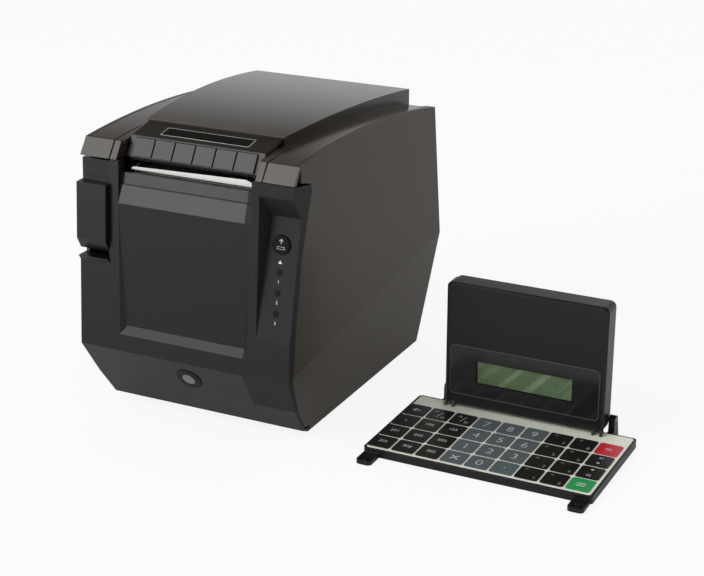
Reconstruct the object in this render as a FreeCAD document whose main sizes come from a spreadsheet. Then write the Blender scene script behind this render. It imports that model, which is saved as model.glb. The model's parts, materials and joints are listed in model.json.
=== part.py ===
import FreeCAD, Part
import math
import os
import Sketcher

# Ticket register: an 80 mm receipt printer and its flat operator keypad with a tilting display.
# Millimetres, z up. The printer faces -y. Its pieces are drawn with x = 0 on its middle plane,
# y = 0 at its chin and z = 0 on the table. The keypad's pieces are drawn about the tray's middle.

SIZES = {
    # Printer case, from the side: y runs to the rear and z runs up.
    "case_width": 140.0,
    "wall": 2.2,
    "parting": 0.4,
    "overrun": 12.0,
    "foot_height": 2.5,
    "band_bend_y": 25.3,
    "band_bend_z": 6.1,
    "band_foot_y": 33.0,
    "band_top_y": 13.5,
    "band_top_z": 23.2,
    "chin_z": 46.4,
    "seam_y": 9.5,
    "seam_z": 159.7,
    "brow_y": 16.5,
    "brow_z": 169.6,
    "roof_mid_y": 70.0,
    "roof_mid_z": 172.0,
    "rear_top_y": 198.0,
    "rear_top_z": 160.0,
    "rear_mid_y": 209.5,
    "rear_mid_z": 73.0,
    "rear_foot_y": 187.0,
    "crease_rear_z": 74.0,
    "front_foot_half": 64.4,
    "rear_foot_half": 64.4,
    # Seam between the front bezel and the case on the side walls, from the chin up.
    "seam_low_y": 5.1,
    "seam_bend_y": 9.8,
    "seam_bend_z": 78.3,
    "seam_middle_y": 16.7,
    "seam_middle_z": 114.9,
    "seam_high_y": 24.4,
    "seam_high_z": 138.1,
    "seam_top_y": 30.1,
    "seam_top_z": 152.5,
    "seam_corner_y": 28.4,
    "seam_corner_z": 156.5,
    "seam_low_gap": 3.0,
    # Front bezel: slope under the paper slot, framed panel, sill, control recess and lever opening.
    "bay_half": 43.7,
    "slope_foot_z": 135.3,
    "slope_top_y": 12.7,
    "slope_top_z": 152.6,
    "slot_shelf": 3.6,
    "panel_foot_z": 61.2,
    "panel_depth": 2.9,
    "panel_foot_half": 39.4,
    "sill_z": 56.8,
    "control_inset": 21.6,
    "control_inset_top": 18.0,
    "control_top_z": 152.5,
    "control_ledge_z": 139.3,
    "control_depth": 17.3,
    "control_foot_z": 69.5,
    "pillar": 5.0,
    "lever_inset": 20.2,
    "lever_opening_z": 101.2,
    "lever_seam_gap": 3.5,
    "lip_reach": 2.2,
    "lip_drop": 3.0,
    # Buttons and lamps of the printer.
    "feed_inset": 10.6,
    "feed_z": 124.0,
    "feed_radius": 5.4,
    "feed_proud": 0.9,
    "button_gap": 0.25,
    "lamp_radius": 1.7,
    "lamp_top_z": 108.7,
    "lamp_pitch": 11.5,
    "power_radius": 8.0,
    "power_lens_radius": 4.1,
    "power_travel": 1.6,
    "power_stem": 5.0,
    "power_proud": 0.4,
    "button_skirt": 4.0,
    "button_flange": 1.0,
    # Where the keypad stands beside the printer, and its outline.
    "keypad_x": 173.1,
    "keypad_y": 65.1,
    "tray_width": 138.0,
    "tray_depth": 80.0,
    # Roof line along the side walls' top edge, the lid's rear end and its hinge.
    "roof_start_y": 17.6,
    "roof_start_z": 169.8,
    "lid_end_y": 184.6,
    "lid_end_slant": 1.8,
    "lid_thickness": 2.4,
    "post_inset": 6.1,
    "hinge_y": 193.0,
    "hinge_drop": 5.4,
    "barrel_radius": 5.0,
    "hinge_rod_radius": 1.5,
    "rod_gap": 0.05,
    "rear_wall_top_z": 148.6,
    # Base tray and what stands on it: frame, paper bucket, main board and power switch.
    "floor_thickness": 2.6,
    "seat": 0.6,
    "frame_floor_z": 60.0,
    "frame_half": 50.5,
    "frame_sheet": 1.5,
    "frame_front_y": 20.8,
    "frame_rear_y": 66.0,
    "post_inset_x": 9.0,
    "post_inset_y": 7.0,
    "post_radius": 4.2,
    "bucket_foot_z": 66.0,
    "bucket_post_x": 50.0,
    "bucket_post_front_y": 74.0,
    "bucket_post_rear_y": 150.0,
    "board_z": 9.0,
    "board_thickness": 1.6,
    "board_post_radius": 3.0,
    "board_half": 42.0,
    "board_front_y": 64.0,
    "board_rear_y": 168.0,
    "board_inset": 4.0,
    "screw_radius": 1.5,
    "screw_head_radius": 2.8,
    "screw_head": 1.6,
    "screw_length": 9.0,
    "screw_gap": 0.1,
    "case_boss_inset": 12.5,
    "case_boss_front_y": 36.0,
    "case_boss_rear_y": 178.0,
    "case_boss_depth": 10.0,
    "case_boss_top_z": 20.0,
    "switch_front_y": 16.5,
    "switch_rear_y": 33.0,
    "switch_foot_z": 31.0,
    "switch_rib": 8.0,
    "switch_overhang": 2.4,
    "bucket_wall": 2.2,
    "foot_radius": 6.5,
    "foot_seat": 0.8,
    "foot_inset_x": 50.0,
    "foot_front_y": 44.0,
    "foot_rear_y": 172.0,
    # Hinge rod's seats and the rear bay.
    "rod_seat": 2.6,
    "bay_width": 104.0,
    "bay_low": 8.0,
    "bay_height": 40.0,
    # Edges, flares and walls of the bezel.
    "bezel_corner": 4.0,
    "bezel_corner_drop": 0.5,
    "frame_flare_share": 1.17,
    "control_flare_share": 0.36,
    "front_wall": 2.4,
    "lever_return_y": 20.0,
    "shelf": 2.0,
    # Panel frame, buttons and lenses behind the panel.
    "frame_inset": 1.0,
    "lamp_flange": 2.4,
    "lamp_back": 1.0,
    "lamp_proud": 0.3,
    # Lid shell, its raised roof and the insert with its pads.
    "lid_gap": 0.4,
    "block_rear_y": 30.0,
    "liner_front_y": 24.0,
    "block_skin": 2.6,
    "block_inner_half": 45.5,
    "block_rib": 2.0,
    "groove_x": 50.0,
    "groove_width": 1.0,
    "groove_depth": 0.8,
    "hump_front_y": 44.6,
    "hump_front_half": 45.6,
    "hump_front_z": 176.2,
    "hump_mid_y": 112.0,
    "hump_mid_half": 52.0,
    "hump_mid_z": 177.8,
    "hump_rear_y": 190.9,
    "hump_rear_half": 55.1,
    "hump_rear_z": 171.6,
    "insert_half": 44.0,
    "plate_rear_y": 44.3,
    "plate_rear_z": 175.2,
    "plate_front_y": 25.0,
    "plate_front_z": 171.5,
    "strip_foot_y": 18.6,
    "strip_foot_z": 160.4,
    "insert_skin": 2.2,
    "pad_pitch": 13.4,
    "pad_width": 12.5,
    "pad_proud": 1.2,
    "pad_margin": 0.6,
    # Tear bar, lid liner, platen and gears.
    "tear_thickness": 1.0,
    "tear_depth": 3.0,
    "tear_half": 41.0,
    "tooth_pitch": 2.0,
    "tooth_height": 0.9,
    "liner_z": 161.6,
    "liner_thickness": 1.8,
    "liner_half": 58.0,
    "liner_bend_y": 134.0,
    "liner_rear_y": 176.0,
    "liner_drop": 5.0,
    "ear_x": 44.4,
    "ear_thickness": 2.6,
    "ear_front_y": 26.6,
    "ear_rear_y": 47.5,
    "ear_foot_z": 142.6,
    "platen_y": 32.0,
    "platen_z": 148.0,
    "platen_radius": 7.0,
    "platen_half": 41.5,
    "core_radius": 4.0,
    "shaft_radius": 2.5,
    "bush_radius": 4.0,
    "bush_flange_radius": 5.0,
    "bush_flange": 0.6,
    "gear_x": 51.4,
    "gear_width": 3.0,
    "gear_module": 0.8,
    "platen_teeth": 20,
    "idler_teeth": 30,
    "pinion_teeth": 12,
    "mesh_gap": 0.16,
    "catch_y": 45.2,
    "catch_z": 145.4,
    "catch_radius": 1.4,
    "catch_length": 4.3,
    # Motor, frame walls, latch shaft and print head.
    "idler_pin_radius": 2.0,
    "motor_shaft_radius": 1.5,
    "motor_shaft_depth": 6.0,
    "motor_side": 28.0,
    "motor_length": 24.0,
    "motor_round": 3.0,
    "frame_top_z": 150.0,
    "frame_wall_front_y": 14.8,
    "frame_wall_half": 42.5,
    "frame_shoulder_z": 118.0,
    "frame_wall_top_z": 146.0,
    "latch_y": 40.0,
    "latch_z": 128.5,
    "latch_radius": 2.0,
    "latch_inset": 4.0,
    "notch_gap": 0.7,
    "head_face_y": 24.0,
    "head_back_y": 19.4,
    "head_low_z": 136.0,
    "head_top_z": 150.0,
    "head_half": 42.0,
    "head_chip": 1.2,
    "head_tab": 4.0,
    "spring_radius": 2.4,
    "spring_wire": 0.5,
    "spring_x": 26.0,
    "spring_z": 141.0,
    # Paper web, roll and bucket.
    "web_half": 39.75,
    "web_thickness": 0.3,
    "web_gap": 0.35,
    "web_bend": 5.0,
    "web_head_top_z": 150.4,
    "web_lip_y": 17.0,
    "web_lip_z": 154.0,
    "web_end_y": 15.5,
    "web_end_z": 158.4,
    "roll_y": 112.0,
    "roll_radius": 40.0,
    "roll_half": 39.75,
    "paper_core_radius": 8.0,
    "paper_core_wall": 1.8,
    "trough_z": 94.0,
    "trough_radius": 42.0,
    "bucket_inner_half": 41.2,
    "bucket_front_z": 124.0,
    "bucket_rear_z": 140.0,
    "lug_reach": 54.5,
    "lug_half_depth": 5.0,
    # Release lever and latch hooks.
    "lever_gap": 0.3,
    "lever_skin": 2.4,
    "lever_top_y": 12.0,
    "lever_top_z": 158.2,
    "lever_ledge_z": 145.4,
    "lever_ledge_y": 11.2,
    "lever_face_top_y": 4.6,
    "lever_face_foot_y": 1.8,
    "lever_face_foot_z": 112.0,
    "lever_foot_y": 5.4,
    "lever_foot_z": 105.3,
    "lever_foot_rear_y": 7.4,
    "lever_rear_y": 22.5,
    "lever_arm_inset": 4.4,
    "lever_arm_width": 5.0,
    "hub_radius": 4.6,
    "hook_hub_radius": 3.4,
    "hook_x": 47.4,
    "hook_width": 1.3,
    "hook_gap": 0.6,
    "hook_top_z": 149.4,
    "hook_neck": 3.2,
    "coil_radius": 3.0,
    "coil_wire": 0.7,
    # Interface plate, sockets, control board and power switch.
    "plate_y": 180.0,
    "plate_sheet": 1.2,
    "plate_half": 54.0,
    "plate_top_z": 54.0,
    "socket_foot_z": 16.0,
    "socket_depth": 14.0,
    "socket_wall": 1.3,
    "socket_floor": 4.0,
    "socket_gap": 0.2,
    "socket_pitch": 24.0,
    "socket_proud": 0.4,
    "socket_round": 0.6,
    "power_socket_width": 14.0,
    "power_socket_height": 14.0,
    "usb_width": 12.4,
    "usb_height": 11.0,
    "network_width": 15.8,
    "network_height": 13.2,
    "drawer_width": 13.4,
    "drawer_height": 12.2,
    "control_board_gap": 6.4,
    "control_board_inner": 3.2,
    "control_board_outer": 7.4,
    "control_board_foot_z": 80.0,
    "control_board_top_z": 132.0,
    "switch_cap_gap": 1.25,
    "switch_side": 6.0,
    "power_switch_half": 6.5,
    "power_switch_top_z": 44.0,
    "power_plunger_radius": 2.6,
    "power_switch_gap": 0.2,
    "seat_gap": 0.05,
    # Keypad tray, overlay, keys and display head.
    "tray_height": 4.8,
    "tray_rim": 1.4,
    "tray_floor": 1.4,
    "tray_corner": 2.5,
    "pad_sheet_gap": 0.1,
    "keypad_board_z": 2.6,
    "keypad_board_sheet": 1.2,
    "overlay_sheet": 1.1,
    "key_left": 67.9,
    "key_pitch_x": 15.0,
    "key_width": 13.7,
    "key_top_y": 25.2,
    "key_pitch_y": 15.9,
    "key_height": 14.4,
    "key_rise": 0.4,
    "key_corner": 1.5,
    "board_boss_radius": 2.2,
    "boss_inset": 8.0,
    "ear_inner": 50.4,
    "ear_outer": 54.2,
    "ear_boss_radius": 2.8,
    "ear_toe": 2.6,
    "pivot_y": 45.2,
    "pivot_z": 11.4,
    "pivot_radius": 1.25,
    "pin_inner": 44.6,
    "lug_inner": 58.5,
    "lug_outer": 68.0,
    "lug_front": 52.0,
    "lug_height": 2.4,
    "lug_hole_radius": 1.3,
    "lug_hole_inner": 61.3,
    "lug_hole_pitch": 4.2,
    "lug_hole_y": 48.6,
    "head_half_width": 49.9,
    "head_front": 33.4,
    "head_parting": 43.4,
    "head_back": 48.4,
    "head_foot_z": 6.4,
    "head_crown_z": 84.8,
    "head_corner": 3.6,
    "head_skin": 2.0,
    "head_edge": 1.2,
    "head_step": 0.5,
    "window_half": 46.9,
    "window_low_z": 13.9,
    "window_high_z": 45.8,
    "window_sheet": 1.3,
    "window_round": 3.0,
    "lcd_half": 30.0,
    "lcd_low_z": 22.8,
    "lcd_high_z": 37.1,
    "lcd_margin": 0.3,
    "lcd_depth": 2.6,
    "display_board_half": 40.0,
    "display_board_low_z": 17.0,
    "display_board_high_z": 52.0,
    "display_boss_radius": 2.4,
    "display_boss_inset": 3.5,
    "prong_inner": 43.4,
    "prong_width": 1.6,
    "prong_front": 32.0,
    "prong_top_z": 8.6,
    "pivot_block_z": 15.4,
    "pivot_block_inner": 41.0,
}

doc = FreeCAD.newDocument("ticket_register")


class Size:
    """A size with its sheet expression beside its number, so that sums of sizes stay bound to the sheet."""

    def __init__(self, value, text):
        self.value = float(value)
        self.text = text

    def join(self, sign, other, swap=False):
        other = size(other)
        first, second = (other, self) if swap else (self, other)
        results = {"+": lambda a, b: a + b, "-": lambda a, b: a - b,
                   "*": lambda a, b: a * b, "/": lambda a, b: a / b}
        return Size(results[sign](first.value, second.value), "(%s %s %s)" % (first.text, sign, second.text))

    def __add__(self, other):
        return self.join("+", other)

    def __radd__(self, other):
        return self.join("+", other, swap=True)

    def __sub__(self, other):
        return self.join("-", other)

    def __rsub__(self, other):
        return self.join("-", other, swap=True)

    def __mul__(self, other):
        return self.join("*", other)

    def __rmul__(self, other):
        return self.join("*", other, swap=True)

    def __truediv__(self, other):
        return self.join("/", other)

    def __neg__(self):
        return Size(-self.value, "(-%s)" % self.text)

    def __float__(self):
        return self.value


def size(value):
    """A Size from a Size or from a plain factor."""
    return value if isinstance(value, Size) else Size(value, repr(float(value)))


class Sheet:
    """The spreadsheet of driving dimensions; sheet.name gives the Size of that cell."""

    def __init__(self, name, values):
        table = doc.addObject("Spreadsheet::Sheet", name)
        self.__dict__["cells"] = {}
        for number, (alias, value) in enumerate(values.items()):
            cell = "A%d" % (number + 1)
            table.set(cell, str(value))
            table.setAlias(cell, alias)
            self.cells[alias] = Size(value, "%s.%s" % (table.Name, alias))
        table.recompute()

    def __getattr__(self, name):
        return self.cells[name]


d = Sheet("Sizes", SIZES)


def bind(feature, name, value):
    """Bind a property to the sheet, or set it where it is a plain factor or zero."""
    if isinstance(value, Size):
        feature.setExpression(name, value.text)
    else:
        feature.setExpression(name, repr(float(value)))


def place(feature, x, y, z):
    """Bind where a feature's own origin stands."""
    bind(feature, "Placement.Base.x", x)
    bind(feature, "Placement.Base.y", y)
    bind(feature, "Placement.Base.z", z)


# The printer and the keypad stand side by side; the frame's origin is under the middle of the pair.
middle_x = (d.keypad_x + d.tray_width / 2 - d.case_width / 2) / 2
middle_y = d.rear_mid_y / 2


def printer_place(feature):
    """Stand a piece that is drawn in the printer's coordinates."""
    place(feature, -middle_x, -middle_y, size(0))


def keypad_place(feature):
    """Stand a piece that is drawn about the middle of the keypad tray."""
    place(feature, d.keypad_x - middle_x, d.keypad_y - middle_y, size(0))


CORNER_SHARE = 1 - math.sqrt(0.5)
HALF_TURN = 180
PLANES = {"x": "YZ_Plane", "y": "XZ_Plane", "z": "XY_Plane"}


def origin_part(body, role):
    """One of the body's own origin planes or axes, found by its role."""
    return next(part for part in body.Origin.OriginFeatures if part.Role == role)


def new_body(label):
    body = doc.addObject("PartDesign::Body", label)
    body.Label = label
    return body


def piece(label, stand=printer_place):
    """A new body that stands where the printer or the keypad stands."""
    body = new_body(label)
    stand(body)
    return body


def disc(x, y, radius):
    return ("disc", x, y, radius)


def rounded(x_low, y_low, x_high, y_high, radius):
    """A rectangle with round corners, as an outline of lines and arcs."""
    r = size(radius)
    inset = r * CORNER_SHARE
    return [
        (x_high - r, y_low), (x_high, y_low + r, x_high - inset, y_low + inset),
        (x_high, y_high - r), (x_high - r, y_high, x_high - inset, y_high - inset),
        (x_low + r, y_high), (x_low, y_high - r, x_low + inset, y_high - inset),
        (x_low, y_low + r), (x_low + r, y_low, x_low + inset, y_low + inset)]


def rectangle(x_low, y_low, x_high, y_high):
    return [(x_low, y_low), (x_high, y_low), (x_high, y_high), (x_low, y_high)]


def mirror(outline):
    """The same outline on the other side of the sketch's vertical axis."""
    return [tuple(-value if number % 2 == 0 else value for number, value in enumerate(point))
            for point in outline]


def pin_point(sketch, geometry, end, x, y):
    """Fix a point of a sketch by its two coordinates, bound to the sheet."""
    for kind, value in (("DistanceX", size(x)), ("DistanceY", size(y))):
        index = sketch.addConstraint(Sketcher.Constraint(kind, geometry, end, value.value))
        sketch.setExpression("Constraints[%d]" % index, value.text)


def flat(x, y):
    return FreeCAD.Vector(float(x), float(y), 0)


def draw_disc(sketch, x, y, radius):
    circle = sketch.addGeometry(Part.Circle(flat(x, y), FreeCAD.Vector(0, 0, 1), float(radius)), False)
    pin_point(sketch, circle, 3, x, y)
    index = sketch.addConstraint(Sketcher.Constraint("Radius", circle, float(radius)))
    sketch.setExpression("Constraints[%d]" % index, size(radius).text)


def draw_outline(sketch, points):
    """A closed outline. A point (x, y, via_x, via_y) is reached by an arc through its second pair."""
    ends = []
    for number, point in enumerate(points):
        before = points[number - 1]
        start = flat(before[0], before[1])
        stop = flat(point[0], point[1])
        if len(point) == 2:
            edge = sketch.addGeometry(Part.LineSegment(start, stop), False)
            ends.append((edge, 1, 2))
        else:
            edge = sketch.addGeometry(Part.Arc(start, flat(point[2], point[3]), stop), False)
            to_first = sketch.getPoint(edge, 1).distanceToPoint(start)
            to_second = sketch.getPoint(edge, 2).distanceToPoint(start)
            ends.append((edge, 1, 2) if to_first < to_second else (edge, 2, 1))
            via = sketch.addGeometry(Part.Point(flat(point[2], point[3])), True)
            sketch.addConstraint(Sketcher.Constraint("PointOnObject", via, 1, edge))
            pin_point(sketch, via, 1, point[2], point[3])
    for number, point in enumerate(points):
        edge, _, stop = ends[number]
        following, start, _ = ends[(number + 1) % len(points)]
        sketch.addConstraint(Sketcher.Constraint("Coincident", edge, stop, following, start))
        pin_point(sketch, edge, stop, point[0], point[1])


def sketch_on(body, axis, level, outlines):
    """A sketch square to an axis of the body, at a level along that axis."""
    sketch = body.newObject("Sketcher::SketchObject", body.Name + "_outline")
    sketch.AttachmentSupport = (origin_part(body, PLANES[axis]), [""])
    sketch.MapMode = "FlatFace"
    bind(sketch, "AttachmentOffset.Base.z", -level if axis == "y" else level)
    for outline in outlines:
        if outline[0] == "disc":
            draw_disc(sketch, *outline[1:])
        else:
            draw_outline(sketch, outline)
    return sketch


def extrude(kind, body, axis, start, length, outlines):
    feature = body.newObject("PartDesign::" + kind, body.Name + "_" + kind.lower())
    feature.Profile = sketch_on(body, axis, size(start), outlines)
    bind(feature, "Length", size(length))
    feature.Reversed = (axis == "y") == (kind == "Pad")
    return feature


def pad(body, axis, start, length, *outlines):
    """Add material from a start along the axis."""
    return extrude("Pad", body, axis, start, length, outlines)


def pocket(body, axis, start, length, *outlines):
    """Cut material away from a start along the axis."""
    return extrude("Pocket", body, axis, start, length, outlines)


def loft(kind, body, axis, *sections):
    """An additive or subtractive loft through (level, outline) sections."""
    feature = body.newObject("PartDesign::" + kind, body.Name + "_loft")
    sketches = [sketch_on(body, axis, size(level), [outline]) for level, outline in sections]
    feature.Profile = sketches[0]
    feature.Sections = sketches[1:]
    feature.Ruled = len(sections) == 2
    return feature


def repeat(body, feature, axis, count, length):
    """A straight row of copies of a feature; length is from the first to the last."""
    row = body.newObject("PartDesign::LinearPattern", body.Name + "_row")
    row.Originals = [feature]
    row.Direction = (origin_part(body, axis.upper() + "_Axis"), [""])
    row.Occurrences = count
    bind(row, "Length", length)
    body.Tip = row
    return row


def soften(body, kind, radius, chosen):
    """Fillet or chamfer the edges of the body's tip that the test picks."""
    doc.recompute()
    tip = body.Tip
    names = ["Edge%d" % (number + 1) for number, edge in enumerate(tip.Shape.Edges) if chosen(edge)]
    feature = body.newObject("PartDesign::" + kind, body.Name + "_" + kind.lower())
    feature.Base = (tip, names)
    bind(feature, "Radius" if kind == "Fillet" else "Size", radius)
    return feature


def is_level(value, wanted):
    return abs(value - float(wanted)) < 0.01


def along(edge, axis):
    """Whether an edge is straight and runs along an axis."""
    if not isinstance(edge.Curve, Part.Line):
        return False
    return abs(getattr(edge.Curve.Direction, axis)) > 0.999


def turned(axis, degrees):
    """A placement at the origin, turned about one of the axes."""
    line = FreeCAD.Vector(axis == "x", axis == "y", axis == "z")
    return FreeCAD.Placement(FreeCAD.Vector(), FreeCAD.Rotation(line, degrees))


def rod(label, axis, x, y, z, radius, length):
    """A round bar from a point along an axis, in its group's coordinates."""
    bar = doc.addObject("Part::Cylinder", label)
    bar.Placement = {"x": turned("y", 90), "y": turned("x", -90), "z": turned("z", 0)}[axis]
    place(bar, size(x), size(y), size(z))
    bind(bar, "Radius", size(radius))
    bind(bar, "Height", size(length))
    return bar


def block(label, x, y, z, length, width, height):
    """A box from its low corner, in its group's coordinates."""
    box = doc.addObject("Part::Box", label)
    place(box, size(x), size(y), size(z))
    for name, value in (("Length", length), ("Width", width), ("Height", height)):
        bind(box, name, size(value))
    return box


def fuse(label, *parts):
    joined = doc.addObject("Part::MultiFuse", label)
    joined.Shapes = list(parts)
    return joined


def cut(label, base, tool):
    remainder = doc.addObject("Part::Cut", label)
    remainder.Base = base
    remainder.Tool = tool
    return remainder


def rounded_block(label, corner, extent, radius, axis):
    """A box whose four edges along an axis are rounded."""
    box = block(label + "_block", *corner, *extent)
    box.recompute()
    smooth = doc.addObject("Part::Fillet", label)
    smooth.Base = box
    smooth.Edges = [(number + 1, float(radius), float(radius))
                    for number, edge in enumerate(box.Shape.Edges) if along(edge, axis)]
    return smooth


def group(label, parts, stand=printer_place):
    """Separate solids in one node."""
    together = doc.addObject("Part::Compound", label)
    together.Label = label
    together.Links = list(parts)
    stand(together)
    return together


NODES = []


def keep(feature):
    """Note a finished sub-part for export."""
    NODES.append(feature)
    return feature


def front_y(height):
    """Where the leaning front face stands at a height above the chin."""
    return (height - d.chin_z) * d.seam_y / (d.seam_z - d.chin_z)


def control_y(height):
    """Where the sunken control panel's face stands at a height."""
    foot = front_y(d.control_foot_z)
    share = (height - d.control_foot_z) / (d.control_ledge_z - d.control_foot_z)
    return foot + share * (d.control_depth - foot)


half = d.case_width / 2
control_left = half - d.control_inset
control_left_top = half - d.control_inset_top
lever_right = half - d.lever_inset
lever_arm_left = half - d.lever_arm_inset
latch_left = half - d.latch_inset
feed_x = half - d.feed_inset
board_left = feed_x - d.control_board_inner
post_half = half - d.post_inset
case_boss_x = half - d.case_boss_inset
inner_half = half - d.wall
base_z = d.foot_height


def taper(body, level):
    """The two wedges that draw the case's lower sides in towards the table."""
    low = base_z - d.overrun
    for side in (1, -1):
        sections = []
        for y, crease_z, foot_half in ((-d.overrun, d.chin_z, d.front_foot_half),
                                       (d.rear_mid_y + d.overrun, d.crease_rear_z, d.rear_foot_half)):
            edge = half - level
            foot = foot_half - level - (edge + level - foot_half) * (base_z - low) / (crease_z - base_z)
            outline = [(edge, crease_z), (edge + d.overrun, crease_z), (edge + d.overrun, low), (foot, low)]
            sections.append((y, outline if side > 0 else mirror(outline)))
        loft("SubtractiveLoft", body, "y", *sections)


def roof_z(y, drop=0.0):
    """Height of the roof line at a depth, on the circle through its start, middle and rear end."""
    (y1, z1), (y2, z2), (y3, z3) = [(float(a), float(b)) for a, b in (
        (d.roof_start_y, d.roof_start_z), (d.roof_mid_y, d.roof_mid_z), (d.rear_top_y, d.rear_top_z))]
    turn = 2 * ((y1 - y3) * (z2 - z3) - (y2 - y3) * (z1 - z3))
    first = y1 * y1 - y3 * y3 + z1 * z1 - z3 * z3
    second = y2 * y2 - y3 * y3 + z2 * z2 - z3 * z3
    centre_y = (first * (z2 - z3) - second * (z1 - z3)) / turn
    centre_z = (second * (y1 - y3) - first * (y2 - y3)) / turn
    radius = math.hypot(y1 - centre_y, z1 - centre_z) - float(drop)
    return centre_z + math.sqrt(radius * radius - (float(y) - centre_y) ** 2)


def make_base_tray():
    """Bottom tray: a floor inside the case, the sloping band at the front, and bosses for what it carries."""
    body = piece("base_tray")
    gap = d.parting
    pad(body, "x", -half, d.case_width, [
        (d.band_top_y, d.band_top_z), (d.band_bend_y, d.band_bend_z), (d.band_foot_y, base_z),
        (d.band_foot_y + d.wall, base_z), (d.band_foot_y + d.wall, base_z + d.floor_thickness),
        (d.band_foot_y - d.wall, base_z + d.floor_thickness),
        (d.band_bend_y + d.wall, d.band_bend_z + d.wall / 2), (d.band_top_y + d.wall, d.band_top_z)])
    rear_half = d.rear_foot_half - d.wall - gap
    front_half = d.front_foot_half - d.wall - gap * 2
    floor_rear = d.rear_foot_y - d.wall - gap
    pad(body, "z", base_z, d.floor_thickness, [
        (-front_half, d.band_foot_y), (front_half, d.band_foot_y), (rear_half, floor_rear),
        (-rear_half, floor_rear)])
    top = base_z + d.floor_thickness
    for x, y in frame_posts():
        pad(body, "z", top - d.seat, d.frame_floor_z - top + d.seat, disc(x, y, d.post_radius))
    for x, y in bucket_posts():
        pad(body, "z", top - d.seat, d.bucket_foot_z - top + d.seat, disc(x, y, d.post_radius))
    for x, y in board_posts():
        pad(body, "z", top - d.seat, d.board_z - top + d.seat, disc(x, y, d.board_post_radius))
    for places, level in ((frame_posts(), d.frame_floor_z), (bucket_posts(), d.bucket_foot_z)):
        for x, y in places:
            pocket(body, "z", level - d.screw_length, d.screw_length + d.overrun,
                   disc(x, y, d.screw_radius + d.rod_gap))
    for x, y in case_bosses():
        pocket(body, "z", base_z - d.overrun, d.screw_head + d.overrun,
               disc(x, y, d.screw_head_radius + d.screw_gap))
        pocket(body, "z", base_z - d.overrun, d.overrun * 2, disc(x, y, d.screw_radius + d.screw_gap))
    back = d.switch_rear_y
    pad(body, "x", -d.switch_rib / 2, d.switch_rib, [
        (d.band_top_y + d.wall / 2, d.band_top_z),
        (d.band_bend_y + d.wall / 2, d.band_bend_z + d.wall / 4), (back, base_z + d.wall / 2),
        (back, d.switch_foot_z),
        (d.switch_front_y + d.switch_overhang, d.switch_foot_z),
        (d.switch_front_y + d.switch_overhang, d.band_top_z)])
    for x, y in foot_places():
        pocket(body, "z", base_z - d.overrun, d.foot_seat + d.overrun,
               disc(x, y, d.foot_radius + d.screw_gap))
    taper(body, size(0))
    front = d.band_top_y - d.overrun
    pocket(body, "x", -half, d.case_width, [
        (d.band_top_y, d.band_top_z), (d.band_bend_y, d.band_bend_z), (d.band_foot_y, base_z),
        (d.band_foot_y, size(0)), (front, size(0)), (front, d.band_top_z)])
    return keep(body)


def corners(x, y_front, y_rear):
    return [(-x, y_front), (x, y_front), (-x, y_rear), (x, y_rear)]


def frame_posts():
    return corners(d.frame_half - d.post_inset_x, d.frame_front_y + d.post_inset_y,
                   d.frame_rear_y - d.post_inset_y)


def bucket_posts():
    return corners(d.bucket_post_x, d.bucket_post_front_y, d.bucket_post_rear_y)


def board_posts():
    return corners(d.board_half - d.board_inset, d.board_front_y + d.board_inset,
                   d.board_rear_y - d.board_inset)


def foot_places():
    return corners(d.foot_inset_x, d.foot_front_y, d.foot_rear_y)


def make_feet():
    """Four rubber feet, each seated in a round recess of the tray."""
    feet = [rod("foot_%d" % n, "z", x, y, size(0), d.foot_radius, base_z + d.foot_seat)
            for n, (x, y) in enumerate(foot_places())]
    return keep(group("rubber_feet", feet))


def case_bosses():
    return corners(case_boss_x, d.case_boss_front_y, d.case_boss_rear_y)


def make_case_screws():
    """Four screws up through the tray into the case's bosses."""
    screws = []
    for number, (x, y) in enumerate(case_bosses()):
        name = "case_screw_%d" % number
        head = rod(name + "_head", "z", x, y, base_z, d.screw_head_radius, d.screw_head)
        shank = rod(name + "_shank", "z", x, y, base_z, d.screw_radius, d.screw_length)
        screws.append(fuse(name, head, shank))
    return keep(group("case_screws", screws))


def make_chassis_screws():
    """Eight screws down through the frame's floor and the bucket's lugs into the tray's posts."""
    screws = []
    seats = [(x, y, d.frame_floor_z, d.frame_sheet) for x, y in frame_posts()]
    seats += [(x, y, d.bucket_foot_z, d.bucket_wall) for x, y in bucket_posts()]
    for number, (x, y, level, sheet) in enumerate(seats):
        name = "chassis_screw_%d" % number
        head = rod(name + "_head", "z", x, y, level + sheet, d.screw_head_radius, d.screw_head)
        depth = d.screw_length - d.screw_gap
        shank = rod(name + "_shank", "z", x, y, level - depth, d.screw_radius, depth + sheet + d.screw_head)
        screws.append(fuse(name, head, shank))
    return keep(group("chassis_screws", screws))


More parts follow.
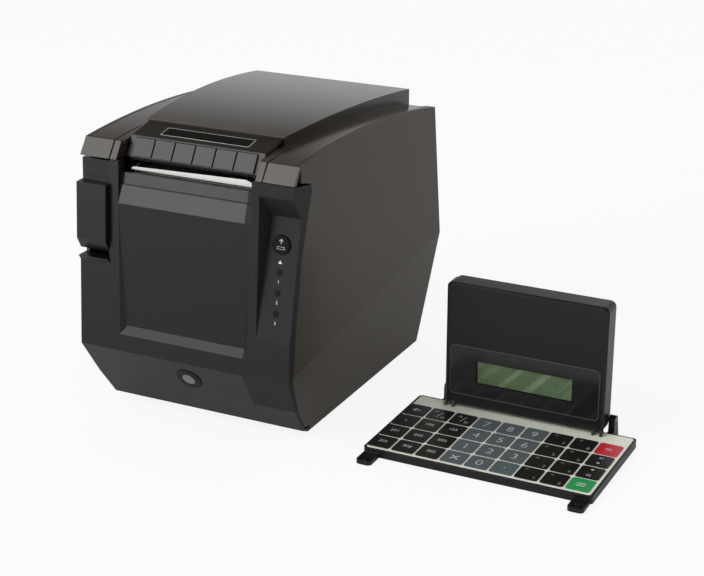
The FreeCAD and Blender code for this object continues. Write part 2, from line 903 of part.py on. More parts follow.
def make_main_case():
    """Side walls and rear wall in one moulding, drawn in below the crease, with posts for the lid's hinge."""
    body = piece("main_case")
    gap = d.parting
    end_z = size(roof_z(d.rear_top_y))
    via_y = (d.roof_start_y + d.rear_top_y) / 2
    pad(body, "x", -half, d.case_width, [
        (d.band_foot_y + d.wall + gap, base_z),
        (d.band_foot_y + d.wall + gap, base_z + d.floor_thickness + gap),
        (d.band_bend_y + d.wall + gap, d.band_bend_z + d.wall / 2 + gap),
        (d.band_top_y + d.seam_low_gap, d.band_top_z),
        (d.seam_low_y + gap, d.chin_z),
        (d.seam_bend_y + gap, d.seam_bend_z),
        (d.seam_middle_y + gap, d.seam_middle_z),
        (d.seam_high_y + gap, d.seam_high_z),
        (d.seam_top_y + gap, d.seam_top_z),
        (d.seam_corner_y + gap, d.seam_corner_z + gap),
        (d.roof_start_y, d.seam_z + gap),
        (d.roof_start_y, d.roof_start_z),
        (d.rear_top_y, end_z, via_y, size(roof_z(via_y))),
        (d.rear_mid_y, d.rear_mid_z),
        (d.rear_foot_y, base_z)])
    taper(body, size(0))
    low = base_z - d.overrun
    inner_end = d.rear_foot_y - d.wall
    sections = []
    for y, crease_z, foot_half in ((-d.overrun, d.chin_z, d.front_foot_half),
                                   (inner_end, d.crease_rear_z, d.rear_foot_half)):
        foot = foot_half - d.wall - (half - foot_half) * (base_z - low) / (crease_z - base_z)
        high = d.roof_mid_z + d.overrun
        sections.append((y, [(-foot, low), (foot, low), (inner_half, crease_z), (inner_half, high),
                             (-inner_half, high), (-inner_half, crease_z)]))
    loft("SubtractiveLoft", body, "y", *sections)
    boss_foot = base_z + d.floor_thickness
    for x, y in case_bosses():
        wall_x = (d.front_foot_half if float(y) < float(middle_y) else d.rear_foot_half) - d.wall / 2
        near = case_boss_x - d.post_radius
        start = near if float(x) > 0 else -wall_x
        pad(body, "x", start, wall_x - near, rectangle(
            y - d.case_boss_depth / 2, boss_foot, y + d.case_boss_depth / 2, d.case_boss_top_z))
        pocket(body, "z", boss_foot - d.overrun, d.overrun + d.screw_length,
               disc(x, y, d.screw_radius + d.rod_gap))
    rear_half = post_half - d.parting
    pocket(body, "x", -rear_half, rear_half * 2, [
        (inner_end - d.overrun, low), (inner_end, low), (inner_end, base_z + d.wall),
        (d.rear_mid_y - d.wall, d.rear_mid_z), (d.rear_top_y - d.wall, d.rear_top_z),
        (d.rear_top_y - d.wall, d.roof_mid_z), (inner_end - d.overrun, d.roof_mid_z)])
    pocket(body, "x", -post_half, post_half * 2,
           rectangle(inner_end - d.overrun, d.rear_wall_top_z, d.rear_mid_y + d.overrun, d.roof_mid_z))
    pocket(body, "x", -(post_half + d.rod_seat), (post_half + d.rod_seat) * 2,
           disc(d.hinge_y, hinge_z, d.hinge_rod_radius + d.rod_gap))
    bay_start = d.rear_foot_y - d.overrun
    pocket(body, "y", bay_start, d.rear_mid_y + d.overrun - bay_start,
           rectangle(-d.bay_width / 2, base_z + d.bay_low, d.bay_width / 2,
                     base_z + d.bay_low + d.bay_height))
    return keep(body)


hinge_z = size(roof_z(d.hinge_y)) - d.hinge_drop


def lean_of(rise, run):
    """Angle by which a face leans back from upright."""
    return math.atan2(float(run), float(rise))


def leaning_rod(label, x, y, z, lean, start, radius, length):
    """A round bar along the inward normal of a face that leans back by an angle."""
    bar = doc.addObject("Part::Cylinder", label)
    bar.Placement = turned("x", -90 - math.degrees(lean))
    place(bar, size(x), y + start * math.cos(lean), z - start * math.sin(lean))
    bind(bar, "Radius", size(radius))
    bind(bar, "Height", size(length))
    return bar


control_lean = lean_of(d.control_ledge_z - d.control_foot_z, d.control_depth - front_y(d.control_foot_z))
chin_lean = lean_of(d.chin_z - d.band_top_z, -d.band_top_y)
POWER_SHARE = 0.54
power_y = d.band_top_y * POWER_SHARE
power_z = d.chin_z - (d.chin_z - d.band_top_z) * POWER_SHARE
LAMP_COUNT = 3
lamp_heights = [d.lamp_top_z - d.lamp_pitch * number for number in range(LAMP_COUNT)]


def seam_y_at(height):
    """Where the side seam stands at a height between its bend and its middle."""
    share = (height - d.seam_bend_z) / (d.seam_middle_z - d.seam_bend_z)
    return d.seam_bend_y + (d.seam_middle_y - d.seam_bend_y) * share


def recess_section(height, floor_half, floor_y):
    """Level section of the framed panel's recess; its sides flare towards the front."""
    front_half = floor_half + d.overrun * d.frame_flare_share
    return height, [(-floor_half, floor_y), (floor_half, floor_y), (front_half, floor_y - d.overrun),
                    (-front_half, floor_y - d.overrun)]


def control_section(height, left, floor_y):
    """Level section of the control recess, open to the right side."""
    reach = floor_y + d.overrun
    return height, [(left, floor_y), (half + d.overrun, floor_y), (half + d.overrun, -d.overrun),
                    (left - reach * d.control_flare_share, -d.overrun)]


def make_front_bezel():
    """Front moulding: paper slot's slope, framed panel, control recess and lever opening."""
    body = new_body("bezel_moulding")
    t = d.front_wall
    far = d.seam_top_y + d.overrun
    above = d.seam_z + d.overrun
    pad(body, "x", -half, d.case_width, [
        (d.band_top_y, d.band_top_z), (size(0), d.chin_z), (d.seam_y, d.seam_z),
        (d.seam_corner_y - d.bezel_corner, d.seam_corner_z + d.bezel_corner_drop),
        (d.seam_corner_y, d.seam_corner_z), (d.seam_top_y, d.seam_top_z),
        (d.seam_high_y, d.seam_high_z), (d.seam_middle_y, d.seam_middle_z), (d.seam_bend_y, d.seam_bend_z),
        (d.seam_low_y, d.chin_z), (d.band_top_y + d.seam_low_gap - d.parting, d.band_top_z)])
    pocket(body, "x", -inner_half, inner_half * 2, [
        (d.band_top_y + t, d.band_top_z - d.overrun), (d.band_top_y + t, d.band_top_z), (t, d.chin_z),
        (d.seam_y + t, d.seam_z), (d.seam_y + t, above), (far, above), (far, d.band_top_z - d.overrun)])
    foot_y = front_y(d.slope_foot_z)
    shelf_y = d.slope_top_y + d.slot_shelf
    pad(body, "x", -d.bay_half - d.wall, (d.bay_half + d.wall) * 2, [
        (foot_y + t / 2, d.slope_foot_z - t), (d.slope_top_y, d.slope_top_z), (shelf_y, d.slope_top_z),
        (shelf_y, d.slope_top_z - d.shelf), (d.slope_top_y + t, d.slope_top_z - t),
        (foot_y + t, d.slope_foot_z - t)])
    for start in (d.bay_half, -d.bay_half - d.wall):
        pad(body, "x", start, d.wall, [
            (foot_y + t / 2, d.slope_foot_z), (d.seam_y + t / 2, d.seam_z), (shelf_y, d.seam_z),
            (shelf_y, d.slope_top_z - d.shelf), (foot_y + t, d.slope_foot_z)])
    pocket(body, "x", -d.bay_half, d.bay_half * 2, [
        (-d.overrun, d.slope_foot_z), (foot_y, d.slope_foot_z), (d.slope_top_y, d.slope_top_z),
        (far, d.slope_top_z), (far, above), (-d.overrun, above)])
    floor_y = front_y(d.panel_foot_z) + d.panel_depth
    pad(body, "x", -d.bay_half, d.bay_half * 2, [
        (front_y(d.sill_z) + t / 2, d.sill_z - t), (foot_y + t / 2, d.slope_foot_z),
        (foot_y + t, d.slope_foot_z),
        (floor_y + d.wall, d.panel_foot_z), (front_y(d.sill_z) + t, d.sill_z - t)])
    loft("SubtractiveLoft", body, "z",
         recess_section(d.sill_z, d.bay_half - d.frame_inset, front_y(d.sill_z)),
         recess_section(d.panel_foot_z, d.panel_foot_half, floor_y))
    loft("SubtractiveLoft", body, "z",
         recess_section(d.panel_foot_z, d.panel_foot_half, floor_y),
         recess_section(d.slope_foot_z, d.bay_half, foot_y))
    back_foot_z = d.control_foot_z - d.pillar
    back_top_z = d.control_top_z + d.pillar
    pad(body, "x", control_left - d.wall, inner_half - control_left + d.wall + d.parting, [
        (front_y(back_foot_z) + t / 2, back_foot_z), (front_y(back_top_z) + t / 2, back_top_z),
        (front_y(back_top_z) + t, back_top_z), (d.control_depth + t, d.control_ledge_z + t),
        (d.control_depth + t, d.control_ledge_z), (control_y(back_foot_z) + t, back_foot_z)])
    loft("SubtractiveLoft", body, "z",
         control_section(d.control_foot_z, control_left, front_y(d.control_foot_z)),
         control_section(d.control_ledge_z, control_left_top, d.control_depth))
    loft("SubtractiveLoft", body, "z",
         control_section(d.control_ledge_z, control_left_top, d.control_depth),
         control_section(d.control_top_z, control_left, front_y(d.control_top_z)))
    sill_z = d.lever_opening_z
    pad(body, "x", -lever_right, d.wall, [
        (front_y(sill_z) + t / 2, sill_z - t), (d.seam_y + t / 2, d.seam_z), (d.lever_return_y, d.seam_z - t),
        (d.lever_return_y, sill_z - t)])
    edge_gap = d.lever_seam_gap
    pocket(body, "x", -half - d.overrun, half + d.overrun - lever_right, [
        (-d.overrun, sill_z), (seam_y_at(sill_z) - edge_gap, sill_z),
        (d.seam_middle_y - edge_gap, d.seam_middle_z),
        (d.seam_high_y - edge_gap, d.seam_high_z), (d.seam_top_y - edge_gap, d.seam_top_z),
        (d.seam_top_y - edge_gap, above), (-d.overrun, above)])
    pad(body, "x", -half, half - lever_right, [
        (front_y(sill_z) - d.lip_reach, sill_z), (seam_y_at(sill_z) - edge_gap, sill_z),
        (seam_y_at(sill_z) - edge_gap, sill_z - d.shelf), (front_y(sill_z) + t / 2, sill_z - d.shelf),
        (front_y(sill_z - d.lip_drop), sill_z - d.lip_drop)])
    for side in (1, -1):
        wedge = [(half, d.chin_z), (half + d.overrun, d.chin_z), (half + d.overrun, size(0)),
                 (half - (half - d.front_foot_half) * d.chin_z / (d.chin_z - base_z), size(0))]
        pocket(body, "y", -d.overrun, d.overrun + far, wedge if side > 0 else mirror(wedge))
    panel_y = control_y(d.feed_z)
    holes = [leaning_rod("feed_hole", feed_x, panel_y, d.feed_z, control_lean, -d.overrun / 2,
                         d.feed_radius + d.button_gap, d.overrun)]
    for number, z in enumerate(lamp_heights):
        holes.append(leaning_rod("lamp_hole_%d" % number, feed_x, control_y(z), z, control_lean,
                                 -d.overrun / 2,
                                 d.lamp_radius + d.rod_gap, d.overrun))
    holes.append(leaning_rod("power_hole", size(0), power_y, power_z, chin_lean, -d.overrun / 2,
                             d.power_radius + d.button_gap, d.overrun))
    bezel = cut("front_bezel", body, fuse("bezel_holes", *holes))
    printer_place(bezel)
    return keep(bezel)


def make_feed_button():
    """Round feed button with a flange behind the panel; its face has a shallow dish."""
    y, z = control_y(d.feed_z), d.feed_z
    wall = d.front_wall
    cap = leaning_rod("feed_cap", feed_x, y, z, control_lean, -d.feed_proud, d.feed_radius,
                      d.feed_proud + wall + d.button_gap)
    flange = leaning_rod("feed_flange", feed_x, y, z, control_lean, wall + d.button_gap,
                         d.feed_radius + d.button_flange, d.button_flange)
    button = fuse("feed_button", cap, flange)
    printer_place(button)
    return keep(button)


def make_lenses():
    """Three round lamp lenses with flanges behind the panel."""
    lenses = []
    for number, height in enumerate(lamp_heights):
        y = control_y(height)
        pin = leaning_rod("lamp_pin_%d" % number, feed_x, y, height, control_lean, -d.lamp_proud,
                          d.lamp_radius,
                          d.lamp_proud + d.front_wall + d.button_gap)
        back = leaning_rod("lamp_back_%d" % number, feed_x, y, height, control_lean,
                           d.front_wall + d.button_gap,
                           d.lamp_flange, d.lamp_back)
        lenses.append(fuse("lamp_%d" % number, pin, back))
    return keep(group("status_lenses", lenses))


def make_power_button():
    """Round power button ring and the pale lens in its middle."""
    ring = leaning_rod("power_cap", size(0), power_y, power_z, chin_lean, -d.power_proud, d.power_radius,
                       d.button_skirt)
    flange = leaning_rod("power_flange", size(0), power_y, power_z, chin_lean, d.front_wall + d.button_gap,
                         d.power_radius + d.button_flange, d.button_flange)
    well = leaning_rod("power_well", size(0), power_y, power_z, chin_lean, -d.overrun,
                       d.power_lens_radius + d.rod_gap,
                       d.overrun * 3)
    button = cut("power_button", fuse("power_body", ring, flange), well)
    printer_place(button)
    keep(button)
    lens = leaning_rod("power_window", size(0), power_y, power_z, chin_lean, -d.power_proud - d.lamp_proud,
                       d.power_lens_radius, d.button_skirt + d.button_flange)
    return keep(group("power_lens", [lens]))


def roof_at(y, drop=0.0):
    return size(roof_z(y, drop))


def make_lid_shell():
    """Opening lid: curved roof, raised centre that widens to the rear, corner blocks, hinge barrel."""
    body = piece("lid_shell")
    lid_half = inner_half - d.lid_gap
    t = d.lid_thickness
    start = d.roof_start_y + d.lid_gap
    middle = (start + d.lid_end_y) / 2
    pad(body, "x", -lid_half, lid_half * 2, [
        (start, roof_at(start)), (d.lid_end_y, roof_at(d.lid_end_y), middle, roof_at(middle)),
        (d.lid_end_y - d.lid_end_slant, roof_at(d.lid_end_y - d.lid_end_slant, t)),
        (start, roof_at(start, t), middle, roof_at(middle, t))])
    barrel_half = post_half - d.lid_gap
    pad(body, "x", -barrel_half, barrel_half * 2, [
        (d.lid_end_y - t, roof_at(d.lid_end_y - t, t)), (d.lid_end_y - t, roof_at(d.lid_end_y - t)),
        (d.hinge_y, hinge_z + d.barrel_radius), (d.hinge_y, hinge_z + d.barrel_radius - t)])
    pad(body, "x", -barrel_half, barrel_half * 2, disc(d.hinge_y, hinge_z, d.barrel_radius))
    skin = d.block_skin
    low = d.seam_z + d.parting
    low_y = d.seam_y + (d.brow_y - d.seam_y) * (low - d.seam_z) / (d.brow_z - d.seam_z)
    for side in (1, -1):
        begin = d.block_inner_half if side > 0 else -half
        pad(body, "x", begin, half - d.block_inner_half, [
            (low_y, low), (d.brow_y, d.brow_z), (d.roof_start_y - d.lid_gap / 2, roof_at(d.roof_start_y)),
            (d.roof_start_y - d.lid_gap / 2, roof_at(d.roof_start_y) - t),
            (d.brow_y + d.parting, d.brow_z - t), (low_y + skin, low)])
        wide = lid_half - d.block_inner_half
        begin = d.block_inner_half if side > 0 else -lid_half
        pad(body, "x", begin, wide, [
            (d.brow_y - d.parting, d.brow_z - t), (d.brow_y, d.brow_z),
            (d.block_rear_y, roof_at(d.block_rear_y)),
            (d.block_rear_y, roof_at(d.block_rear_y) - t)])
        begin = d.block_inner_half if side > 0 else -d.block_inner_half - d.block_rib
        pad(body, "x", begin, d.block_rib, [
            (low_y, low), (d.brow_y, d.brow_z), (d.block_rear_y, roof_at(d.block_rear_y)),
            (d.block_rear_y, roof_at(d.block_rear_y) - t), (d.liner_front_y - d.parting,
                                                            roof_at(d.block_rear_y) - t),
            (d.liner_front_y - d.parting, low + skin / 2), (d.lever_return_y, low)])
    high = d.hump_front_z + d.overrun
    sink = d.lid_thickness
    for name, inset in (("AdditiveLoft", size(0)), ("SubtractiveLoft", t)):
        levels = ((d.hump_front_y + inset, d.hump_front_half - inset, d.hump_front_z - inset,
                   roof_at(d.hump_front_y)),
                  (d.hump_mid_y, d.hump_mid_half - inset, d.hump_mid_z - inset, roof_at(d.hump_mid_y)),
                  (d.hump_rear_y - inset, d.hump_rear_half - inset, d.hump_rear_z - inset,
                   roof_at(d.hump_rear_y)))
        drop = sink if name == "AdditiveLoft" else sink * 2
        loft(name, body, "y", *[(y, rectangle(-x, roof - drop, x, z)) for y, x, z, roof in levels])
    pocket(body, "x", -d.insert_half - d.lid_gap, (d.insert_half + d.lid_gap) * 2,
           rectangle(-d.overrun, low - d.overrun, d.plate_rear_y + d.lid_gap, high))
    for side in (1, -1):
        x = d.groove_x * side
        pocket(body, "x", x - d.groove_width / 2, d.groove_width, [
            (low_y - d.overrun, low - d.overrun), (low_y + d.groove_depth, low),
            (d.brow_y + d.groove_depth / 2, d.brow_z - d.groove_depth),
            (d.hump_front_y, roof_at(d.hump_front_y) - d.groove_depth), (d.hump_front_y, high),
            (low_y - d.overrun, high)])
    pocket(body, "x", -barrel_half - d.overrun, (barrel_half + d.overrun) * 2,
           disc(d.hinge_y, hinge_z, d.hinge_rod_radius + d.rod_gap))
    return keep(body)


PAD_COUNT = 6


def make_top_insert():
    """Insert in the lid's front: the bare sloping plate and, below it, the strip with its six raised pads."""
    body = piece("top_insert")
    skin = d.insert_skin
    width = d.insert_half * 2
    pad(body, "x", -d.insert_half, width, [
        (d.strip_foot_y, d.strip_foot_z), (d.plate_front_y, d.plate_front_z),
        (d.plate_rear_y, d.plate_rear_z),
        (d.plate_rear_y, d.plate_rear_z - skin), (d.plate_front_y + skin, d.plate_front_z - skin),
        (d.strip_foot_y + skin, d.strip_foot_z)])
    rise = d.plate_front_z - d.strip_foot_z
    run = d.plate_front_y - d.strip_foot_y
    low = d.pad_margin / rise
    high = (rise - d.pad_margin) / rise
    sunk = d.pad_margin
    row_length = d.pad_pitch * (PAD_COUNT - 1)
    first = pad(body, "x", -row_length / 2 - d.pad_width / 2, d.pad_width, [
        (d.strip_foot_y + run * low + sunk, d.strip_foot_z + rise * low),
        (d.strip_foot_y + run * low - d.pad_proud, d.strip_foot_z + rise * low + d.pad_proud / 2),
        (d.strip_foot_y + run * high - d.pad_proud, d.strip_foot_z + rise * high),
        (d.strip_foot_y + run * high + sunk, d.strip_foot_z + rise * high)])
    repeat(body, first, "x", PAD_COUNT, row_length)
    return keep(body)


ROOT_SHARE = 1.15
TIP_SHARE = 0.85
TOOTH_SHARES = (1.08, 0.66, 0.3)
idler_z = d.platen_z - (d.platen_teeth + d.idler_teeth) * d.gear_module / 2 - d.mesh_gap
pinion_z = idler_z - (d.idler_teeth + d.pinion_teeth) * d.gear_module / 2 - d.mesh_gap


def make_tear_bar():
    """Steel strip along the lid's lower front edge with a toothed edge to tear the paper against."""
    body = piece("tear_bar")
    top = d.strip_foot_z - d.parting / 2
    front = d.strip_foot_y - d.pad_proud / 2
    pad(body, "z", top - d.tear_thickness, d.tear_thickness,
        rectangle(-d.tear_half, front, d.tear_half, front + d.tear_depth + d.insert_skin))
    count = int(float(d.tear_half) * 2 / float(d.tooth_pitch)) - 1
    tooth = pad(body, "z", top - d.tear_thickness, d.tear_thickness, [
        (-d.tear_half + d.tooth_pitch / 2, front + d.tooth_height),
        (-d.tear_half + d.tooth_pitch, front - d.tooth_height),
        (-d.tear_half + d.tooth_pitch * 1.5, front + d.tooth_height)])
    repeat(body, tooth, "x", count, d.tooth_pitch * (count - 1))
    return keep(body)


def make_lid_liner():
    """Inner cover under the roof, with the two ears that carry the platen and the catch pins."""
    body = piece("lid_liner")
    t = d.liner_thickness
    pad(body, "x", -d.liner_half, d.liner_half * 2, [
        (d.liner_front_y, d.liner_z), (d.liner_bend_y, d.liner_z), (d.liner_rear_y, d.liner_z - d.liner_drop),
        (d.liner_rear_y, d.liner_z - d.liner_drop + t), (d.liner_bend_y, d.liner_z + t),
        (d.liner_front_y, d.liner_z + t)])
    for y in (d.ear_rear_y, d.liner_rear_y - t * 2):
        for side in (1, -1):
            foot = d.liner_z + t / 2 if y is d.ear_rear_y else d.liner_z - d.liner_drop + t / 2
            x = (d.liner_half - t) * side - t / 2
            pad(body, "x", x, t, rectangle(y, foot, y + t, roof_at(y + t, d.lid_thickness + d.screw_gap)))
    for start in (d.ear_x, -d.ear_x - d.ear_thickness):
        pad(body, "x", start, d.ear_thickness, [
            (d.ear_front_y, d.liner_z + t), (d.ear_front_y, d.platen_z), (d.platen_y, d.ear_foot_z),
            (d.catch_y + d.catch_radius, d.ear_foot_z), (d.ear_rear_y, d.platen_z),
            (d.ear_rear_y, d.liner_z + t)])
    reach = d.ear_x + d.ear_thickness + d.overrun
    pocket(body, "x", -reach, reach * 2, disc(d.platen_y, d.platen_z, d.bush_radius + d.rod_gap))
    pocket(body, "x", -reach, reach * 2, disc(d.catch_y, d.catch_z, d.catch_radius + d.rod_gap))
    return keep(body)


def both_sides(label, y, z, radius, start, length):
    """The same round bar on the right and on the left."""
    return [rod(label + "_right", "x", start, y, z, radius, length),
            rod(label + "_left", "x", -start - length, y, z, radius, length)]


def make_catch_pins():
    """Pins on the lid's ears beside the latch hooks."""
    pins = both_sides("catch_pin", d.catch_y, d.catch_z, d.catch_radius, d.ear_x, d.catch_length)
    return keep(group("catch_pins", pins))


def make_platen_bushes():
    """Two flanged bushes in the lid's ears."""
    bushes = []
    tubes = both_sides("bush_tube", d.platen_y, d.platen_z, d.bush_radius, d.ear_x, d.ear_thickness)
    flanges = both_sides("bush_flange", d.platen_y, d.platen_z, d.bush_flange_radius,
                         d.ear_x - d.bush_flange, d.bush_flange)
    bores = both_sides("bush_bore", d.platen_y, d.platen_z, d.shaft_radius + d.rod_gap, d.ear_x - d.overrun,
                       d.overrun * 2)
    for tube, flange, bore in zip(tubes, flanges, bores):
        bushes.append(cut("platen_" + tube.Name, fuse(flange.Name + "_body", tube, flange), bore))
    return keep(group("platen_bushes", bushes))


def make_platen():
    """Rubber roller on its steel shaft."""
    core_half = d.platen_half + d.seat
    tyre = rod("platen_tyre", "x", -d.platen_half, d.platen_y, d.platen_z, d.platen_radius, d.platen_half * 2)
    bore = rod("platen_bore", "x", -core_half, d.platen_y, d.platen_z, d.core_radius + d.rod_gap,
               core_half * 2)
    keep(group("platen_roller", [cut("platen_sleeve", tyre, bore)]))
    core = rod("platen_core", "x", -core_half, d.platen_y, d.platen_z, d.core_radius, core_half * 2)
    reach = d.gear_x + d.gear_width + d.seat
    shaft = fuse("shaft_bar", core, rod("shaft_right", "x", size(0), d.platen_y, d.platen_z, d.shaft_radius,
                                        reach),
                 rod("shaft_left", "x", -d.ear_x - d.ear_thickness, d.platen_y, d.platen_z, d.shaft_radius,
                     d.ear_x + d.ear_thickness))
    return keep(group("platen_shaft", [shaft]))


def make_gear(label, teeth, z, shaft_radius, turn):
    """A spur gear about its own x axis; its first tooth stands this many degrees from straight up."""
    body = piece(label)
    module = d.gear_module
    pitch = teeth * module / 2
    root = pitch - module * ROOT_SHARE
    tip = pitch + module * TIP_SHARE
    pad(body, "x", size(0), d.gear_width, disc(size(0), size(0), root),
        disc(size(0), size(0), shaft_radius + d.rod_gap))
    levels = (root - d.rod_gap * 2, pitch, tip)
    flank = [(module * share, level) for share, level in zip(TOOTH_SHARES, levels)]
    tooth = pad(body, "x", size(0), d.gear_width, mirror(flank) + flank[::-1])
    ring = body.newObject("PartDesign::PolarPattern", label + "_ring")
    ring.Originals = [tooth]
    ring.Axis = (origin_part(body, "X_Axis"), [""])
    ring.Angle = HALF_TURN * 2
    ring.Occurrences = int(float(teeth))
    body.Tip = ring
    body.Placement = turned("x", turn)
    place(body, d.gear_x - middle_x, d.platen_y - middle_y, z)
    return keep(body)


def make_gears():
    """Platen gear, idler and motor pinion in one upright line, in mesh at rest."""
    make_gear("platen_gear", d.platen_teeth, d.platen_z, d.shaft_radius, HALF_TURN)
    make_gear("idler_gear", d.idler_teeth, idler_z, d.idler_pin_radius, HALF_TURN / float(d.idler_teeth))
    make_gear("motor_pinion", d.pinion_teeth, pinion_z, d.motor_shaft_radius, 0)


def make_chassis():
    """Folded steel frame: floor, two side plates and the front wall that backs the print head's springs."""
    body = piece("chassis_frame")
    t = d.frame_sheet
    pad(body, "z", d.frame_floor_z, t, [
        (-d.frame_wall_half, d.frame_wall_front_y), (d.frame_wall_half, d.frame_wall_front_y),
        (d.frame_wall_half, d.frame_front_y), (d.frame_half, d.frame_front_y), (d.frame_half, d.frame_rear_y),
        (-d.frame_half, d.frame_rear_y), (-d.frame_half, d.frame_front_y),
        (-d.frame_wall_half, d.frame_front_y)])
    pad(body, "y", d.frame_wall_front_y, t,
        rectangle(-d.frame_wall_half, d.frame_floor_z, d.frame_wall_half, d.frame_wall_top_z))
    for start in (d.frame_half - t, -d.frame_half):
        pad(body, "x", start, t, [
            (d.frame_front_y, d.frame_floor_z), (d.frame_rear_y, d.frame_floor_z),
            (d.frame_rear_y, d.frame_shoulder_z),
            (d.latch_y + d.overrun, d.frame_top_z), (d.frame_front_y, d.frame_top_z)])
    notch = d.shaft_radius + d.notch_gap
    reach = d.frame_half + d.overrun
    pocket(body, "x", -reach, reach * 2, disc(d.platen_y, d.platen_z, notch))
    pocket(body, "x", -reach, reach * 2,
           rectangle(d.platen_y - notch, d.platen_z, d.platen_y + notch, d.frame_top_z + d.overrun))
    pocket(body, "x", -reach, reach * 2, disc(d.latch_y, d.latch_z, d.latch_radius + d.rod_gap))
    pocket(body, "x", size(0), reach, disc(d.platen_y, idler_z, d.idler_pin_radius))
    pocket(body, "x", size(0), reach, disc(d.platen_y, pinion_z, d.motor_shaft_radius + d.parting))
    for x, y in frame_posts():
        pocket(body, "z", d.frame_floor_z - d.overrun, d.overrun * 2,
               disc(x, y, d.screw_radius + d.screw_gap))
    return keep(body)


def make_motor():
    """Square stepper motor under the paper path against the right side plate, with a bore for its shaft."""
    side = d.motor_side / 2
    end = d.frame_half - d.frame_sheet
    can = rounded_block("motor_can", (end - d.motor_length, d.platen_y - side, pinion_z - side),
                        (d.motor_length, d.motor_side, d.motor_side), d.motor_round, "x")
    depth = d.motor_shaft_depth + d.rod_gap
    bore = rod("motor_bore", "x", end - depth, d.platen_y, pinion_z, d.motor_shaft_radius + d.rod_gap,
               depth * 2)
    return keep(group("feed_motor", [cut("motor_bored", can, bore)]))


def make_motor_shaft():
    """The motor's shaft, which carries the pinion."""
    start = d.frame_half - d.frame_sheet - d.motor_shaft_depth
    bar = rod("motor_bar", "x", start, d.platen_y, pinion_z, d.motor_shaft_radius,
              d.gear_x + d.gear_width + d.seat - start)
    return keep(group("motor_shaft", [bar]))


def make_idler_pin():
    """Fixed pin of the idler gear, riveted in the right side plate."""
    start = d.frame_half - d.frame_sheet
    bar = rod("idler_bar", "x", start, d.platen_y, idler_z, d.idler_pin_radius,
              d.gear_x + d.gear_width + d.seat - start)
    return keep(group("idler_pin", [bar]))


def make_print_head():
    """Aluminium block with a raised heating strip, guided by tabs beside the frame's plates."""
    body = piece("print_head")
    face = d.head_face_y - d.head_chip
    pad(body, "x", -d.head_half, d.head_half * 2, rectangle(d.head_back_y, d.head_low_z, face, d.head_top_z))
    strip_half = d.head_half - d.head_chip
    pad(body, "x", -strip_half, strip_half * 2,
        rectangle(face, d.head_low_z + d.wall, d.head_face_y, d.head_top_z - d.head_chip))
    tab_half = d.frame_half - d.frame_sheet - d.parting
    pad(body, "x", -tab_half, tab_half * 2,
        rectangle(d.frame_front_y, d.head_low_z, face, d.head_low_z + d.head_tab))
    return keep(body)


COIL_TURNS = 3


def coil(label, radius, wire, height):
    """A spring of square wire about z; height is between the middles of its end turns."""
    path = doc.addObject("Part::Helix", label + "_path")
    bind(path, "Radius", radius)
    bind(path, "Height", height)
    bind(path, "Pitch", height / COIL_TURNS)
    path.recompute()
    section = doc.addObject("Part::Plane", label + "_section")
    section.Placement = turned("x", 90)
    place(section, radius - wire / 2, size(0), -wire / 2)
    bind(section, "Length", wire)
    bind(section, "Width", wire)
    spring = doc.addObject("Part::Sweep", label)
    spring.Sections = [section]
    spring.Spine = (path, ["Edge1"])
    spring.Solid = True
    spring.Frenet = True
    return spring


def make_head_springs():
    """Two compression springs between the frame's front wall and the print head."""
    springs = []
    start = d.frame_wall_front_y + d.frame_sheet + d.spring_wire
    height = d.head_back_y - start - d.spring_wire
    for number, side in enumerate((-1, 1)):
        spring = coil("head_spring_%d" % number, d.spring_radius, d.spring_wire, height)
        spring.Placement = turned("x", -90)
        place(spring, d.spring_x * side, start, d.spring_z)
        springs.append(spring)
    return keep(group("head_springs", springs))


roll_z = d.trough_z - d.trough_radius + d.roll_radius + d.parting


def make_paper_bucket():
    """Open trough for the roll: half round bottom, two side plates, and lugs on the tray's posts."""
    body = piece("paper_bucket")
    t = d.bucket_wall
    outer = d.trough_radius + t
    half_width = d.bucket_inner_half + t
    foot_z = d.trough_z - outer
    front = d.roll_y - outer
    rear = d.roll_y + outer
    pad(body, "x", -half_width, half_width * 2, [
        (front, d.trough_z), (rear, d.trough_z, d.roll_y, foot_z), (rear, d.bucket_rear_z),
        (front, d.bucket_front_z)])
    for start in (-half_width, d.bucket_inner_half):
        pad(body, "x", start, t, [
            (front, d.bucket_foot_z), (front + d.bucket_foot_z - foot_z, foot_z),
            (rear - d.bucket_foot_z + foot_z, foot_z), (rear, d.bucket_foot_z), (rear, d.trough_z),
            (front, d.trough_z)])
    for start in (half_width - t / 2, -d.lug_reach):
        for y in (d.bucket_post_front_y, d.bucket_post_rear_y):
            pad(body, "z", d.bucket_foot_z, t, rectangle(
                start, y - d.lug_half_depth, start + d.lug_reach - half_width + t / 2, y + d.lug_half_depth))
    low = d.roll_y - d.trough_radius
    high = d.roll_y + d.trough_radius
    pocket(body, "x", -d.bucket_inner_half, d.bucket_inner_half * 2, [
        (low, d.trough_z), (high, d.trough_z, d.roll_y, d.trough_z - d.trough_radius),
        (high, d.bucket_rear_z + d.overrun), (low, d.bucket_rear_z + d.overrun)])
    for x, y in bucket_posts():
        pocket(body, "z", d.bucket_foot_z - d.overrun, d.overrun * 2,
               disc(x, y, d.screw_radius + d.screw_gap))
    return keep(body)


